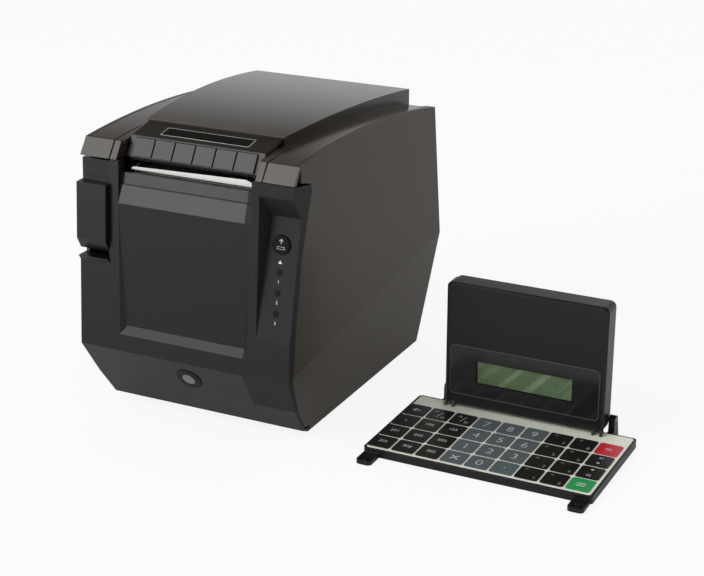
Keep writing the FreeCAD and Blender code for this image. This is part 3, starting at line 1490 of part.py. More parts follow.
def make_paper_roll():
    """The paper roll and its cardboard core."""
    length = d.roll_half * 2
    outer = rod("roll_outer", "x", -d.roll_half, d.roll_y, roll_z, d.roll_radius, length)
    bore = rod("roll_bore", "x", -d.roll_half - d.seat, d.roll_y, roll_z, d.paper_core_radius + d.rod_gap,
               length + d.seat * 2)
    keep(group("paper_roll", [cut("roll_wound", outer, bore)]))
    tube = rod("core_outer", "x", -d.roll_half, d.roll_y, roll_z, d.paper_core_radius, length)
    hole = rod("core_bore", "x", -d.roll_half - d.seat, d.roll_y, roll_z,
               d.paper_core_radius - d.paper_core_wall, length + d.seat * 2)
    return keep(group("paper_core", [cut("core_tube", tube, hole)]))


def make_paper_web():
    """The paper from the roll's top, round to the gap between head and roller and out of the slot."""
    body = piece("paper_web")
    t = d.web_thickness
    low = roll_z + d.roll_radius + d.web_gap
    face = d.head_face_y + d.web_gap
    inner = d.web_bend
    outer = d.web_bend + t
    inset = CORNER_SHARE
    pad(body, "x", -d.web_half, d.web_half * 2, [
        (d.roll_y, low), (face + outer, low), (face, low + outer, face + outer * inset, low + outer * inset),
        (face, d.web_head_top_z - t / 2), (d.web_lip_y - t / 2, d.web_lip_z - t),
        (d.web_end_y - t, d.web_end_z),
        (d.web_end_y, d.web_end_z), (d.web_lip_y, d.web_lip_z), (face + t, d.web_head_top_z),
        (face + t, low + outer),
        (face + outer, low + t, face + t + inner * inset, low + t + inner * inset), (d.roll_y, low + t)])
    return keep(body)


def make_release_lever():
    """Corner lever: a hollow cap with a ledge near its top and an arm back to the latch shaft."""
    body = piece("release_lever")
    t = d.lever_skin
    left = -half
    width = half - lever_right - d.lever_gap
    pad(body, "x", left, width, [
        (d.lever_foot_y, d.lever_foot_z), (d.lever_foot_rear_y, d.lever_foot_z),
        (d.lever_rear_y, d.lever_top_z),
        (d.lever_top_y, d.lever_top_z), (d.lever_ledge_y, d.lever_ledge_z + d.lever_gap),
        (d.lever_face_top_y, d.lever_ledge_z), (d.lever_face_foot_y, d.lever_face_foot_z)])
    pocket(body, "x", left + t, width - t * 2, [
        (d.lever_foot_y + t, d.lever_foot_z + t * 2), (d.lever_rear_y + t, d.lever_foot_z + t * 2),
        (d.lever_rear_y + t, d.lever_top_z - t), (d.lever_top_y + t, d.lever_top_z - t),
        (d.lever_ledge_y + t, d.lever_ledge_z - t), (d.lever_face_top_y + t, d.lever_ledge_z - t),
        (d.lever_face_foot_y + t, d.lever_face_foot_z)])
    arm = -lever_arm_left
    pad(body, "x", arm, d.lever_arm_width, [
        (d.lever_face_foot_y + t / 2, d.lever_face_foot_z), (d.latch_y, d.latch_z - d.hub_radius),
        (d.latch_y, d.latch_z + d.hub_radius), (d.lever_top_y + t / 2, d.lever_top_z - d.overrun)])
    pad(body, "x", arm, d.lever_arm_width, disc(d.latch_y, d.latch_z, d.hub_radius))
    pocket(body, "x", arm - d.overrun, d.overrun * 2, disc(d.latch_y, d.latch_z, d.latch_radius + d.rod_gap))
    return keep(body)


def make_latch():
    """Shaft of the release lever, its two hooks beside the lid's ears, and the return spring round it."""
    reach = latch_left + d.frame_half
    keep(group("latch_shaft", [rod("latch_bar", "x", -latch_left, d.latch_y, d.latch_z, d.latch_radius,
                                   reach)]))
    nose_y = d.catch_y - d.catch_radius - d.hook_gap
    hooks = []
    for number, start in enumerate((d.hook_x, -d.hook_x - d.hook_width)):
        body = new_body("latch_hook_%d" % number)
        pad(body, "x", start, d.hook_width, disc(d.latch_y, d.latch_z, d.hook_hub_radius))
        pad(body, "x", start, d.hook_width, [
            (d.latch_y - d.hook_neck / 2, d.latch_z + d.latch_radius + d.rod_gap * 2),
            (d.latch_y + d.hook_neck / 2, d.latch_z + d.latch_radius + d.rod_gap * 2),
            (nose_y - d.hook_neck / 2, d.catch_z - d.catch_radius),
            (nose_y - d.hook_neck / 2, d.catch_z + d.catch_radius),
            (nose_y, d.catch_z + d.catch_radius + d.hook_gap), (nose_y - d.hook_neck / 2, d.hook_top_z),
            (d.latch_y - d.hook_neck / 2, d.hook_top_z - d.hook_neck / 2)])
        pocket(body, "x", start - d.overrun, d.overrun * 2, disc(d.latch_y, d.latch_z,
                                                                 d.latch_radius + d.rod_gap))
        hooks.append(body)
    keep(group("latch_hooks", hooks))
    start = -lever_arm_left + d.lever_arm_width + d.coil_wire
    spring = coil("latch_coil", d.coil_radius, d.coil_wire, -start - d.frame_half - d.coil_wire)
    spring.Placement = turned("y", 90)
    place(spring, start, d.latch_y, d.latch_z)
    return keep(group("latch_spring", [spring]))


def make_hinge_rod():
    """Steel rod through the lid's hinge barrel into the case's posts."""
    reach = post_half + d.rod_seat - d.screw_gap
    return keep(group("lid_hinge_rod", [rod("hinge_bar", "x", -reach, d.hinge_y, hinge_z, d.hinge_rod_radius,
                                            reach * 2)]))


SOCKETS = (("power_socket", d.power_socket_width, d.power_socket_height),
           ("usb_socket", d.usb_width, d.usb_height),
           ("network_socket", d.network_width, d.network_height),
           ("drawer_socket", d.drawer_width, d.drawer_height))


def socket_x(number):
    """Where a socket's middle stands in the row, counted from the left."""
    return d.socket_pitch * number - d.socket_pitch * (len(SOCKETS) - 1) / 2


def make_boards():
    """Main board on the tray's posts, and the interface plate in the rear bay with its four sockets."""
    board = rounded_block("main_board_sheet", (-d.board_half, d.board_front_y, d.board_z + d.seat_gap),
                          (d.board_half * 2, d.board_rear_y - d.board_front_y, d.board_thickness),
                          d.board_inset / 2, "z")
    keep(group("main_board", [board]))
    plate = piece("interface_plate")
    foot = base_z + d.floor_thickness + d.seat_gap
    pad(plate, "y", d.plate_y, d.plate_sheet, rectangle(-d.plate_half, foot, d.plate_half, d.plate_top_z))
    for number, (label, width, height) in enumerate(SOCKETS):
        x = socket_x(number)
        reach = width / 2 + d.socket_gap
        pocket(plate, "y", d.plate_y - d.overrun, d.overrun * 2, rectangle(
            x - reach, d.socket_foot_z - d.socket_gap, x + reach, d.socket_foot_z + height + d.socket_gap))
    keep(plate)
    for number, (label, width, height) in enumerate(SOCKETS):
        x = socket_x(number)
        wall = d.socket_wall
        front = d.plate_y + d.plate_sheet + d.socket_proud - d.socket_depth
        shell = rounded_block(label + "_shell", (x - width / 2, front, d.socket_foot_z),
                              (width, d.socket_depth, height),
                              d.socket_round, "y")
        cavity = block(label + "_cavity", x - width / 2 + wall, front + d.socket_floor,
                       d.socket_foot_z + wall,
                       width - wall * 2, d.socket_depth, height - wall * 2)
        keep(group(label, [cut(label + "_open", shell, cavity)]))


def make_control_board():
    """Board behind the control panel with a lamp under each lens and the switch behind the feed button."""
    gap = d.control_board_gap
    tilt = -math.degrees(control_lean)
    foot_y = control_y(d.control_board_foot_z)
    length = (d.control_board_top_z - d.control_board_foot_z) / math.cos(control_lean)
    sheet = block("control_sheet", board_left, foot_y + gap * math.cos(control_lean),
                  d.control_board_foot_z - gap * math.sin(control_lean),
                  d.control_board_inner + d.control_board_outer, d.board_thickness, length)
    sheet.Placement = turned("x", tilt)
    place(sheet, board_left, foot_y + gap * math.cos(control_lean),
          d.control_board_foot_z - gap * math.sin(control_lean))
    solids = [sheet]
    lens_back = d.front_wall + d.button_gap + d.lamp_back + d.button_gap
    for number, z in enumerate(lamp_heights):
        solids.append(leaning_rod("lamp_die_%d" % number, feed_x, control_y(z), z, control_lean, lens_back,
                                  d.lamp_radius, gap - lens_back + d.seat))
    cap = d.front_wall + d.button_gap + d.button_flange + d.switch_cap_gap
    solids.append(leaning_rod("feed_switch", feed_x, control_y(d.feed_z), d.feed_z, control_lean, cap,
                              d.switch_side / 2, gap - cap + d.seat))
    return keep(group("control_board", [fuse("control_parts", *solids)]))


def make_power_switch():
    """Latching switch on the tray's rib behind the power button."""
    depth = d.switch_rear_y - d.switch_front_y
    body = block("power_switch_body", -d.power_switch_half, d.switch_front_y, d.switch_foot_z + d.seat_gap,
                 d.power_switch_half * 2, depth, d.power_switch_top_z - d.switch_foot_z)
    start = d.button_skirt + d.button_flange + d.power_travel + d.power_switch_gap - d.power_proud
    plunger = leaning_rod("power_plunger", size(0), power_y, power_z, chin_lean, start,
                          d.power_plunger_radius, d.power_stem)
    return keep(group("power_switch", [fuse("power_switch_parts", body, plunger)]))


overlay_top = d.keypad_board_z + d.keypad_board_sheet + d.overlay_sheet + d.pad_sheet_gap


def tray_bosses():
    x = d.tray_width / 2 - d.boss_inset
    y = d.tray_depth / 2 - d.boss_inset
    return corners(x, -y, y) + [(size(0), -y), (size(0), y)]


def make_keypad_tray():
    """Shallow keypad tray with bosses for its board, two front lugs and two hinge ears at the rear."""
    body = piece("keypad_tray", keypad_place)
    x, y = d.tray_width / 2, d.tray_depth / 2
    pad(body, "z", size(0), d.tray_height, rounded(-x, -y, x, y, d.tray_corner))
    pocket(body, "z", d.tray_floor, d.tray_height, rectangle(-x + d.tray_rim, -y + d.tray_rim,
                                                             x - d.tray_rim, y - d.tray_rim))
    for boss_x, boss_y in tray_bosses():
        pad(body, "z", d.tray_floor - d.seat, d.keypad_board_z - d.tray_floor + d.seat,
            disc(boss_x, boss_y, d.board_boss_radius))
    for side in (1, -1):
        low = d.lug_inner if side > 0 else -d.lug_outer
        pad(body, "z", size(0), d.lug_height,
            rounded(low, -d.lug_front, low + d.lug_outer - d.lug_inner, -y + d.tray_rim, d.tray_corner))
        for step in (size(0), d.lug_hole_pitch):
            pocket(body, "z", -d.overrun, d.overrun * 2, disc((d.lug_hole_inner + step) * side,
                                                              -d.lug_hole_y, d.lug_hole_radius))
        start = d.ear_inner if side > 0 else -d.ear_outer
        thick = d.ear_outer - d.ear_inner
        rear = d.pivot_y + d.ear_boss_radius
        pad(body, "x", start, thick, [
            (y - d.tray_rim, size(0)), (rear + d.ear_toe, size(0)), (rear, d.pivot_z),
            (d.pivot_y - d.ear_boss_radius, d.pivot_z), (d.pivot_y - d.ear_boss_radius, d.tray_height),
            (y - d.tray_rim, d.tray_height)])
        pad(body, "x", start, thick, disc(d.pivot_y, d.pivot_z, d.ear_boss_radius))
    reach = d.ear_outer + d.overrun
    pocket(body, "x", -reach, reach * 2, disc(d.pivot_y, d.pivot_z, d.pivot_radius + d.rod_gap))
    return keep(body)


def sheet_block(label, half_x, half_y, z, thickness, radius):
    """A flat plate about the tray's middle."""
    return rounded_block(label, (-half_x, -half_y, z), (half_x * 2, half_y * 2, thickness), radius, "z")


KEY_ROWS = 4
KEY_COLUMNS = 9
DIGIT_COLUMNS = (3, 4, 5)


def make_keypad():
    """Keypad board, the pale overlay on it and the rows of key fields on the overlay."""
    x = d.tray_width / 2 - d.tray_rim - d.pad_sheet_gap
    y = d.tray_depth / 2 - d.tray_rim - d.pad_sheet_gap
    board_z = d.keypad_board_z + d.pad_sheet_gap / 2
    keep(group("keypad_board", [sheet_block("keypad_board_sheet", x, y, board_z, d.keypad_board_sheet,
                                            d.key_corner)], keypad_place))
    overlay_z = overlay_top - d.overlay_sheet
    keep(group("keypad_overlay", [sheet_block("overlay_panel", x, y, overlay_z, d.overlay_sheet,
                                              d.key_corner)], keypad_place))
    fields = {"black_keys": [], "digit_keys": [], "red_key": [], "green_key": []}
    for row in range(KEY_ROWS):
        for column in range(KEY_COLUMNS):
            last = column == KEY_COLUMNS - 1
            name = "digit_keys" if column in DIGIT_COLUMNS else "black_keys"
            if last and row == 0:
                name = "red_key"
            if last and row == KEY_ROWS - 1:
                name = "green_key"
            key_x = d.key_pitch_x * column - d.key_left
            key_y = d.key_top_y - d.key_pitch_y * row - d.key_height
            fields[name].append(rounded_block("key_%d_%d" % (row, column), (key_x, key_y, overlay_top),
                                              (d.key_width, d.key_height, d.key_rise), d.key_corner, "z"))
    for name, keys in fields.items():
        keep(group(name, keys, keypad_place))


def display_bosses():
    x = d.display_board_half - d.display_boss_inset
    low = d.display_board_low_z + d.display_boss_inset
    high = d.display_board_high_z - d.display_boss_inset
    return [(-x, low), (x, low), (-x, high), (x, high)]


def upper_rim(side, level):
    """A test for the edges in one upright plane of the display head, apart from the lowest."""
    foot = float(d.head_foot_z + d.head_corner)
    return lambda edge: is_level(getattr(edge.BoundBox, side), level) and edge.BoundBox.ZMax > foot


def make_display_head():
    """Front shell with the window recess, rear shell with the pivot blocks, window, glass and board."""
    x = d.head_half_width
    skin = d.head_skin
    front = piece("head_front_shell", keypad_place)
    pad(front, "y", d.head_front, d.head_parting - d.head_front - d.seat_gap,
        rounded(-x, d.head_foot_z, x, d.head_crown_z, d.head_corner))
    soften(front, "Chamfer", d.head_edge, upper_rim("YMax", d.head_front))
    pocket(front, "y", d.head_front + skin, d.head_parting, rounded(
        -x + skin, d.head_foot_z + skin, x - skin, d.head_crown_z - skin, d.head_corner - skin))
    pocket(front, "y", d.head_front - d.overrun, d.overrun + d.window_sheet + d.seat_gap, rounded(
        -d.window_half, d.window_low_z, d.window_half, d.window_high_z, d.window_round))
    margin = d.lcd_margin
    pocket(front, "y", d.head_front, d.head_parting, rectangle(
        -d.lcd_half - margin, d.lcd_low_z - margin, d.lcd_half + margin, d.lcd_high_z + margin))
    board_y = d.head_front + d.window_sheet + d.lcd_depth + d.pad_sheet_gap * 2
    for boss_x, boss_z in display_bosses():
        pad(front, "y", d.head_front + skin - d.seat_gap, board_y - d.head_front - skin,
            disc(boss_x, boss_z, d.display_boss_radius))
    for side in (1, -1):
        for inner in (d.prong_inner, x - d.prong_width):
            start = inner if side > 0 else -inner - d.prong_width
            pad(front, "x", start, d.prong_width, [
                (d.prong_front, overlay_top + margin), (d.prong_front + d.prong_width, overlay_top + margin),
                (d.head_front + skin, d.head_foot_z), (d.head_front + skin, d.prong_top_z),
                (d.head_front, d.prong_top_z)])
    keep(front)
    rear = piece("head_rear_shell", keypad_place)
    step = d.head_step
    pad(rear, "y", d.head_parting, d.head_back - d.head_parting,
        rounded(-x + step, d.head_foot_z, x - step, d.head_crown_z - step, d.head_corner))
    soften(rear, "Chamfer", d.head_edge / 2, upper_rim("YMin", d.head_back))
    pocket(rear, "y", d.head_parting - d.overrun, d.overrun + d.head_back - d.head_parting - skin, rounded(
        -x + skin + step, d.pivot_block_z, x - skin - step, d.head_crown_z - skin - step,
        d.head_corner - skin))
    pocket(rear, "y", d.head_parting - d.overrun, d.overrun + d.head_back - d.head_parting - skin, rectangle(
        -d.pivot_block_inner, d.head_foot_z + skin, d.pivot_block_inner, d.pivot_block_z + step))
    reach = x + d.overrun
    for start in (d.pin_inner - d.seat, -reach):
        pocket(rear, "x", start, reach - d.pin_inner + d.seat,
               disc(d.pivot_y, d.pivot_z, d.pivot_radius + d.rod_gap))
    keep(rear)
    window = piece("display_window", keypad_place)
    gap = d.pad_sheet_gap
    pad(window, "y", d.head_front, d.window_sheet, rounded(
        -d.window_half + gap, d.window_low_z + gap, d.window_half - gap, d.window_high_z - gap,
        d.window_round))
    keep(window)
    glass = block("lcd_glass", -d.lcd_half, d.head_front + d.window_sheet + gap, d.lcd_low_z,
                  d.lcd_half * 2, d.lcd_depth, d.lcd_high_z - d.lcd_low_z)
    keep(group("lcd_panel", [glass], keypad_place))
    sheet = block("display_sheet", -d.display_board_half, board_y, d.display_board_low_z,
                  d.display_board_half * 2,
                  d.board_thickness, d.display_board_high_z - d.display_board_low_z)
    keep(group("display_board", [sheet], keypad_place))
    length = d.ear_outer - d.pin_inner
    pins = both_sides("hinge_pin", d.pivot_y, d.pivot_z, d.pivot_radius, d.pin_inner, length)
    keep(group("hinge_pins", pins, keypad_place))


def main():
    make_base_tray()
    make_feet()
    make_case_screws()
    make_chassis_screws()
    make_main_case()
    make_front_bezel()
    make_feed_button()
    make_lenses()
    make_power_button()
    make_lid_shell()
    make_top_insert()
    make_tear_bar()
    make_lid_liner()
    make_catch_pins()
    make_platen_bushes()
    make_platen()
    make_gears()
    make_chassis()
    make_motor()
    make_motor_shaft()
    make_idler_pin()
    make_print_head()
    make_head_springs()
    make_paper_bucket()
    make_paper_roll()
    make_paper_web()
    make_release_lever()
    make_latch()
    make_hinge_rod()
    make_boards()
    make_control_board()
    make_power_switch()
    make_keypad_tray()
    make_keypad()
    make_display_head()


main()
doc.recompute()
os.makedirs("parts", exist_ok=True)
faults = [item.Name for item in doc.Objects if "Invalid" in item.State or "Error" in item.State]
for node in NODES:
    if node.Shape.isNull() or not node.Shape.isValid():
        faults.append(node.Label)
        continue
    box = node.Shape.optimalBoundingBox()
    corners_mm = [round(value, 1) for value in (box.XMin, box.XMax, box.YMin, box.YMax, box.ZMin, box.ZMax)]
    print(node.Label, len(node.Shape.Solids), round(node.Shape.Volume), corners_mm)
if faults:
    raise SystemExit("faults: %s" % ", ".join(faults))
for node in NODES:
    node.Shape.exportStep("parts/%s.step" % node.Label)
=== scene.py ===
import json
import math

import bpy
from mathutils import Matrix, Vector


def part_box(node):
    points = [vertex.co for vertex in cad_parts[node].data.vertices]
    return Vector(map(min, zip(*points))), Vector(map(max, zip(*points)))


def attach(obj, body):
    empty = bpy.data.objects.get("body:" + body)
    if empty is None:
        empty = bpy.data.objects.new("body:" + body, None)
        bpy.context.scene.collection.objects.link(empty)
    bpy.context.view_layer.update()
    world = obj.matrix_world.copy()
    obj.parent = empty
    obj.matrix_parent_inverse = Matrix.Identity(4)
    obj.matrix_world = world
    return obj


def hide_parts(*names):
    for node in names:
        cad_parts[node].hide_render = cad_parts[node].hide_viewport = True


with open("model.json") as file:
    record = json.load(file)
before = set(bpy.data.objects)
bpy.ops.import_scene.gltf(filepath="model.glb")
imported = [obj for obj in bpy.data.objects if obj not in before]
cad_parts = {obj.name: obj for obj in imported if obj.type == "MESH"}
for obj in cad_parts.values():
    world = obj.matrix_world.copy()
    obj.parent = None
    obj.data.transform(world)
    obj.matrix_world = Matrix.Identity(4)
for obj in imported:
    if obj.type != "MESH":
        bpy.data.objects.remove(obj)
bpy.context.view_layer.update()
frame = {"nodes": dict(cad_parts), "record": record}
bpy.context.scene.view_settings.view_transform = "Standard"

MM = 0.001


# Camera and light

CAMERA_PLACE = (0.40555, -0.87165, 0.44070)
CAMERA_TARGET = (-0.00491, -0.04725, 0.08720)
CAMERA_LENS = 87.32
CAMERA_SENSOR = 36

LEVEL_LIGHT = 0.5
# In reflections the world is near white up to the first height, and dark from the second height on.
# A height is the upward part of a direction of length one.
BRIGHT_HORIZON = {"height": 0.24, "strength": 0.85}
DARK_CEILING = {"height": 0.44, "strength": 0.04}

# How white the table top is to the camera and through glass, and in reflections.
TABLE_SEEN = 0.88
TABLE_MIRRORED = 0.2
TABLE_SIZE = 12
TABLE_DROP = 0.3 * MM

# Name, place, point it faces, side in metres, watts.
SOFTBOXES = (
    ("key_softbox", (-0.95, -1.3, 1.45), (0, 0, 0.08), 1.2, 18),
    ("front_softbox", (-1.05, -1.75, 0.50), (0, 0, 0.12), 0.75, 12),
    ("rear_softbox", (0.1, 1.5, 1.2), (0, 0, 0.1), 1.2, 3),
)


def turn_to(thing, target):
    """Turn a camera or a lamp towards a point."""
    thing.rotation_mode = "QUATERNION"
    thing.rotation_quaternion = (Vector(target) - thing.location).to_track_quat("-Z", "Y")


def set_camera():
    """The photograph's view: a long lens, from the right and above."""
    bpy.ops.object.camera_add(location=CAMERA_PLACE)
    camera = bpy.context.object
    turn_to(camera, CAMERA_TARGET)
    camera.data.lens = CAMERA_LENS
    camera.data.sensor_width = CAMERA_SENSOR
    bpy.context.scene.camera = camera


def linear(code):
    """An sRGB hex colour as the linear values that a shader takes, with full alpha."""
    channels = [int(code[place:place + 2], 16) / 255 for place in (1, 3, 5)]
    return [c / 12.92 if c <= 0.04045 else ((c + 0.055) / 1.055) ** 2.4 for c in channels] + [1.0]


def add(tree, kind, links=(), values=(), **settings):
    """Add a shader node. Settings are its properties, values are pairs of input and value, and links are
    an input, the node that feeds it, and that node's output."""
    node = tree.nodes.new("ShaderNode" + kind)
    for name, value in settings.items():
        setattr(node, name, value)
    for socket, value in values:
        node.inputs[socket].default_value = value
    for socket, source, output in links:
        tree.links.new(source.outputs[output], node.inputs[socket])
    return node


def set_world():
    """Level studio light, a white backdrop, and in reflections a white horizon under a dark ceiling."""
    world = bpy.data.worlds.new("studio")
    bpy.context.scene.world = world
    world.use_nodes = True
    tree = world.node_tree
    tree.nodes.clear()
    path = add(tree, "LightPath")
    way = add(tree, "TexCoord")
    height = add(tree, "SeparateXYZ", [(0, way, "Generated")])
    fade = add(tree, "MapRange", [("Value", height, "Z")],
               [("From Min", BRIGHT_HORIZON["height"]), ("From Max", DARK_CEILING["height"]),
                ("To Min", BRIGHT_HORIZON["strength"]), ("To Max", DARK_CEILING["strength"])])
    lit = add(tree, "Background", values=[("Color", linear("#ffffff")), ("Strength", LEVEL_LIGHT)])
    mirrored = add(tree, "Background", [("Strength", fade, 0)], [("Color", linear("#ffffff"))])
    white = add(tree, "Background", values=[("Color", linear("#ffffff")), ("Strength", 1.0)])
    clear = add(tree, "Math", [(0, path, "Is Camera Ray"), (1, path, "Is Transmission Ray")],
                operation="MAXIMUM")
    gloss = add(tree, "MixShader", [(0, path, "Is Glossy Ray"), (1, lit, 0), (2, mirrored, 0)])
    mixed = add(tree, "MixShader", [(0, clear, 0), (1, gloss, 0), (2, white, 0)])
    add(tree, "OutputWorld", [("Surface", mixed, 0)])


def add_softbox(name, place, aim, size, watts):
    """A large square lamp that faces the object."""
    bpy.ops.object.light_add(type="AREA", location=place)
    lamp = bpy.context.object
    lamp.name = name
    lamp.data.shape = "SQUARE"
    lamp.data.size = size
    lamp.data.energy = watts
    turn_to(lamp, aim)


def new_tree(name):
    """An empty material and its node tree."""
    finish = bpy.data.materials.new(name)
    finish.use_nodes = True
    finish.node_tree.nodes.clear()
    return finish, finish.node_tree


def set_floor():
    """Pale table top that fades into the white background and keeps the object's soft shadow."""
    bpy.ops.mesh.primitive_plane_add(size=TABLE_SIZE, location=(0, 0, -TABLE_DROP))
    floor = bpy.context.object
    floor.name = "table_top"
    finish, tree = new_tree("pale_table_top")
    path = add(tree, "LightPath")
    seen = add(tree, "Math", [(0, path, "Is Camera Ray"), (1, path, "Is Transmission Ray")],
               operation="MAXIMUM")
    clear = add(tree, "Math", [(0, seen, 0)], [(1, TABLE_SEEN)], operation="MULTIPLY")
    gloss = add(tree, "Math", [(0, path, "Is Glossy Ray")], [(1, TABLE_MIRRORED)], operation="MULTIPLY")
    share = add(tree, "Math", [(0, clear, 0), (1, gloss, 0)], operation="MAXIMUM")
    matt = add(tree, "BsdfDiffuse", values=[("Color", linear("#f2f2f2"))])
    glow = add(tree, "Emission", values=[("Color", linear("#ffffff")), ("Strength", 1.0)])
    mixed = add(tree, "MixShader", [(0, share, 0), (1, matt, 0), (2, glow, 0)])
    add(tree, "OutputMaterial", [("Surface", mixed, 0)])
    floor.data.materials.append(finish)


# Finishes

# Moulded plastic: the size of its slow clouds of tone, and how deep its grain is.
CLOUD = 45.45 * MM
GRAIN_DEPTH = 0.12 * MM
# The paler tone on rubbed edges. It starts where the rounded edge has turned this far from the flat
# face beside it, and is full at the second value. Both are the cosine of that turn.
RUBBED = "#8a8a88"
RUB_STARTS = 0.99
RUB_FULL = 0.86
# How much rougher the control recess is than the rest of the bezel, and where it starts.
RECESS_DULLER = 0.28
RECESS_STARTS = -46.5 * MM


def moulded(name, dark, light, roughness, grain=0.9, relief=0.25, gloss=0.5, edge=0.35, rub=0.0,
            dull_from=None):
    """Moulded plastic: a slow drift between two close shades, the fine grain of the mould's wall, edges
    rounded by a few tenths of a millimetre, and a paler rub along them. Grain and edge are in
    millimetres. To the right of dull_from, an x in metres, the mould was eroded to a duller face."""
    finish, tree = new_tree(name)
    place = add(tree, "TexCoord")
    drift = add(tree, "TexNoise", [("Vector", place, "Object")],
                [("Scale", 1 / CLOUD), ("Detail", 3.0), ("Roughness", 0.6)])
    shade = add(tree, "Mix", [(0, drift, "Fac")], [(6, linear(dark)), (7, linear(light))],
                data_type="RGBA")
    pits = add(tree, "TexNoise", [("Vector", place, "Object")],
               [("Scale", 1 / (grain * MM)), ("Detail", 2.0), ("Roughness", 0.55)])
    satin = add(tree, "MapRange", [("Value", pits, "Fac")],
                [("To Min", roughness - 0.05), ("To Max", roughness + 0.05)])
    if dull_from is not None:
        ways = add(tree, "SeparateXYZ", [(0, place, "Object")])
        right = add(tree, "Math", [(0, ways, "X")], [(1, dull_from)], operation="GREATER_THAN")
        satin = add(tree, "Math", [(0, right, 0), (2, satin, 0)], [(1, RECESS_DULLER)],
                    operation="MULTIPLY_ADD")
    soft = add(tree, "Bevel", values=[("Radius", edge * MM)], samples=4)
    bumps = add(tree, "Bump", [("Height", pits, "Fac"), ("Normal", soft, 0)],
                [("Strength", relief), ("Distance", GRAIN_DEPTH)])
    if rub:
        flat = add(tree, "NewGeometry")
        same = add(tree, "VectorMath", [(0, soft, 0), (1, flat, "True Normal")],
                   operation="DOT_PRODUCT")
        turn = add(tree, "MapRange", [("Value", same, "Value")],
                   [("From Min", RUB_STARTS), ("From Max", RUB_FULL), ("To Max", rub)])
        patch = add(tree, "Math", [(0, turn, 0), (1, drift, "Fac")], operation="MULTIPLY")
        shade = add(tree, "Mix", [(0, patch, 0), (6, shade, 2)], [(7, linear(RUBBED))],
                    data_type="RGBA")
    shader = add(tree, "BsdfPrincipled",
                 [("Base Color", shade, 2), ("Roughness", satin, 0), ("Normal", bumps, 0)],
                 [("IOR", 1.53), ("Specular IOR Level", gloss)])
    add(tree, "OutputMaterial", [("Surface", shader, 0)])
    return finish


# Metal: how far apart its fine lines are, how much longer than wide, and how deep.
LINE_SPACING = 0.35 * MM
LINE_STRETCH = 0.04
LINE_DEPTH = 0.05 * MM


def metal(name, dark, light, roughness):
    """Sheet or turned metal: fine lines along x and a faint cloud of tone."""
    finish, tree = new_tree(name)
    place = add(tree, "TexCoord")
    stretch = add(tree, "Mapping", [("Vector", place, "Object")], [("Scale", (LINE_STRETCH, 1.0, 1.0))])
    lines = add(tree, "TexNoise", [("Vector", stretch, 0)], [("Scale", 1 / LINE_SPACING), ("Detail", 2.0)])
    shade = add(tree, "Mix", [(0, lines, "Fac")], [(6, linear(dark)), (7, linear(light))],
                data_type="RGBA")
    satin = add(tree, "MapRange", [("Value", lines, "Fac")],
                [("To Min", roughness - 0.06), ("To Max", roughness + 0.06)])
    bumps = add(tree, "Bump", [("Height", lines, "Fac")], [("Strength", 0.12), ("Distance", LINE_DEPTH)])
    shader = add(tree, "BsdfPrincipled",
                 [("Base Color", shade, 2), ("Roughness", satin, 0), ("Normal", bumps, 0)],
                 [("Metallic", 1.0)])
    add(tree, "OutputMaterial", [("Surface", shader, 0)])
    return finish


# The clear field of the display window: its middle, and half its width and height.
FIELD_MIDDLE = (87.05 * MM, 0.0, 29.95 * MM)
FIELD_HALF_WIDTH = 30.0 * MM
FIELD_HALF_HEIGHT = 7.1 * MM
WINDOW_CLOUD = 16.67 * MM
WINDOW_ROUND = 0.4 * MM


def smoked_acrylic():
    """Smoked acrylic window, printed black on its back but for the clear field before the display: deep
    black and glossy, with the green panel seen through it."""
    finish, tree = new_tree("smoked_acrylic")
    place = add(tree, "TexCoord")
    middle = add(tree, "Mapping", [("Vector", place, "Object")],
                 [("Location", [-part for part in FIELD_MIDDLE])])
    ways = add(tree, "SeparateXYZ", [(0, middle, 0)])
    aside = add(tree, "Math", [(0, ways, "X")], operation="ABSOLUTE")
    above = add(tree, "Math", [(0, ways, "Z")], operation="ABSOLUTE")
    beside = add(tree, "Math", [(0, aside, 0)], [(1, FIELD_HALF_WIDTH)], operation="GREATER_THAN")
    over = add(tree, "Math", [(0, above, 0)], [(1, FIELD_HALF_HEIGHT)], operation="GREATER_THAN")
    border = add(tree, "Math", [(0, beside, 0), (1, over, 0)], operation="MAXIMUM")
    cover = add(tree, "MapRange", [("Value", border, 0)], [("To Min", 0.12), ("To Max", 0.97)])
    drift = add(tree, "TexNoise", [("Vector", place, "Object")],
                [("Scale", 1 / WINDOW_CLOUD), ("Detail", 2.0)])
    shade = add(tree, "Mix", [(0, drift, "Fac")], [(6, linear("#101112")), (7, linear("#151617"))],
                data_type="RGBA")
    satin = add(tree, "MapRange", [("Value", drift, "Fac")], [("To Min", 0.10), ("To Max", 0.16)])
    soft = add(tree, "Bevel", values=[("Radius", WINDOW_ROUND)], samples=4)
    shader = add(tree, "BsdfPrincipled",
                 [("Base Color", shade, 2), ("Roughness", satin, 0), ("Alpha", cover, 0),
                  ("Normal", soft, 0)],
                 [("IOR", 1.49)])
    add(tree, "OutputMaterial", [("Surface", shader, 0)])
    return finish


# The display: the pitch of its character cells across and up, where the first cell starts in cells, and
# the share of a cell that is the gap to the next one.
CELL_WIDTH = 3.4 * MM
CELL_HEIGHT = 5.9 * MM
FIRST_CELL = (-0.0195, 0.0, -0.6105)
CELL_GAP_ACROSS = 0.2
CELL_GAP_UP = 0.14
# Painted reflection: slanting pale streaks painted into the glass's colour where it mirrors the room:
# their turn in radians, length ratios and grain.
PAINTED_REFLECTION_TURN = (0.0, 0.75, 0.0)
PAINTED_REFLECTION_STRETCH = (1.0, 50.0, 14.0)
PAINTED_REFLECTION_GRAIN = 5.882 * MM
GLASS_CLOUD = 22.22 * MM


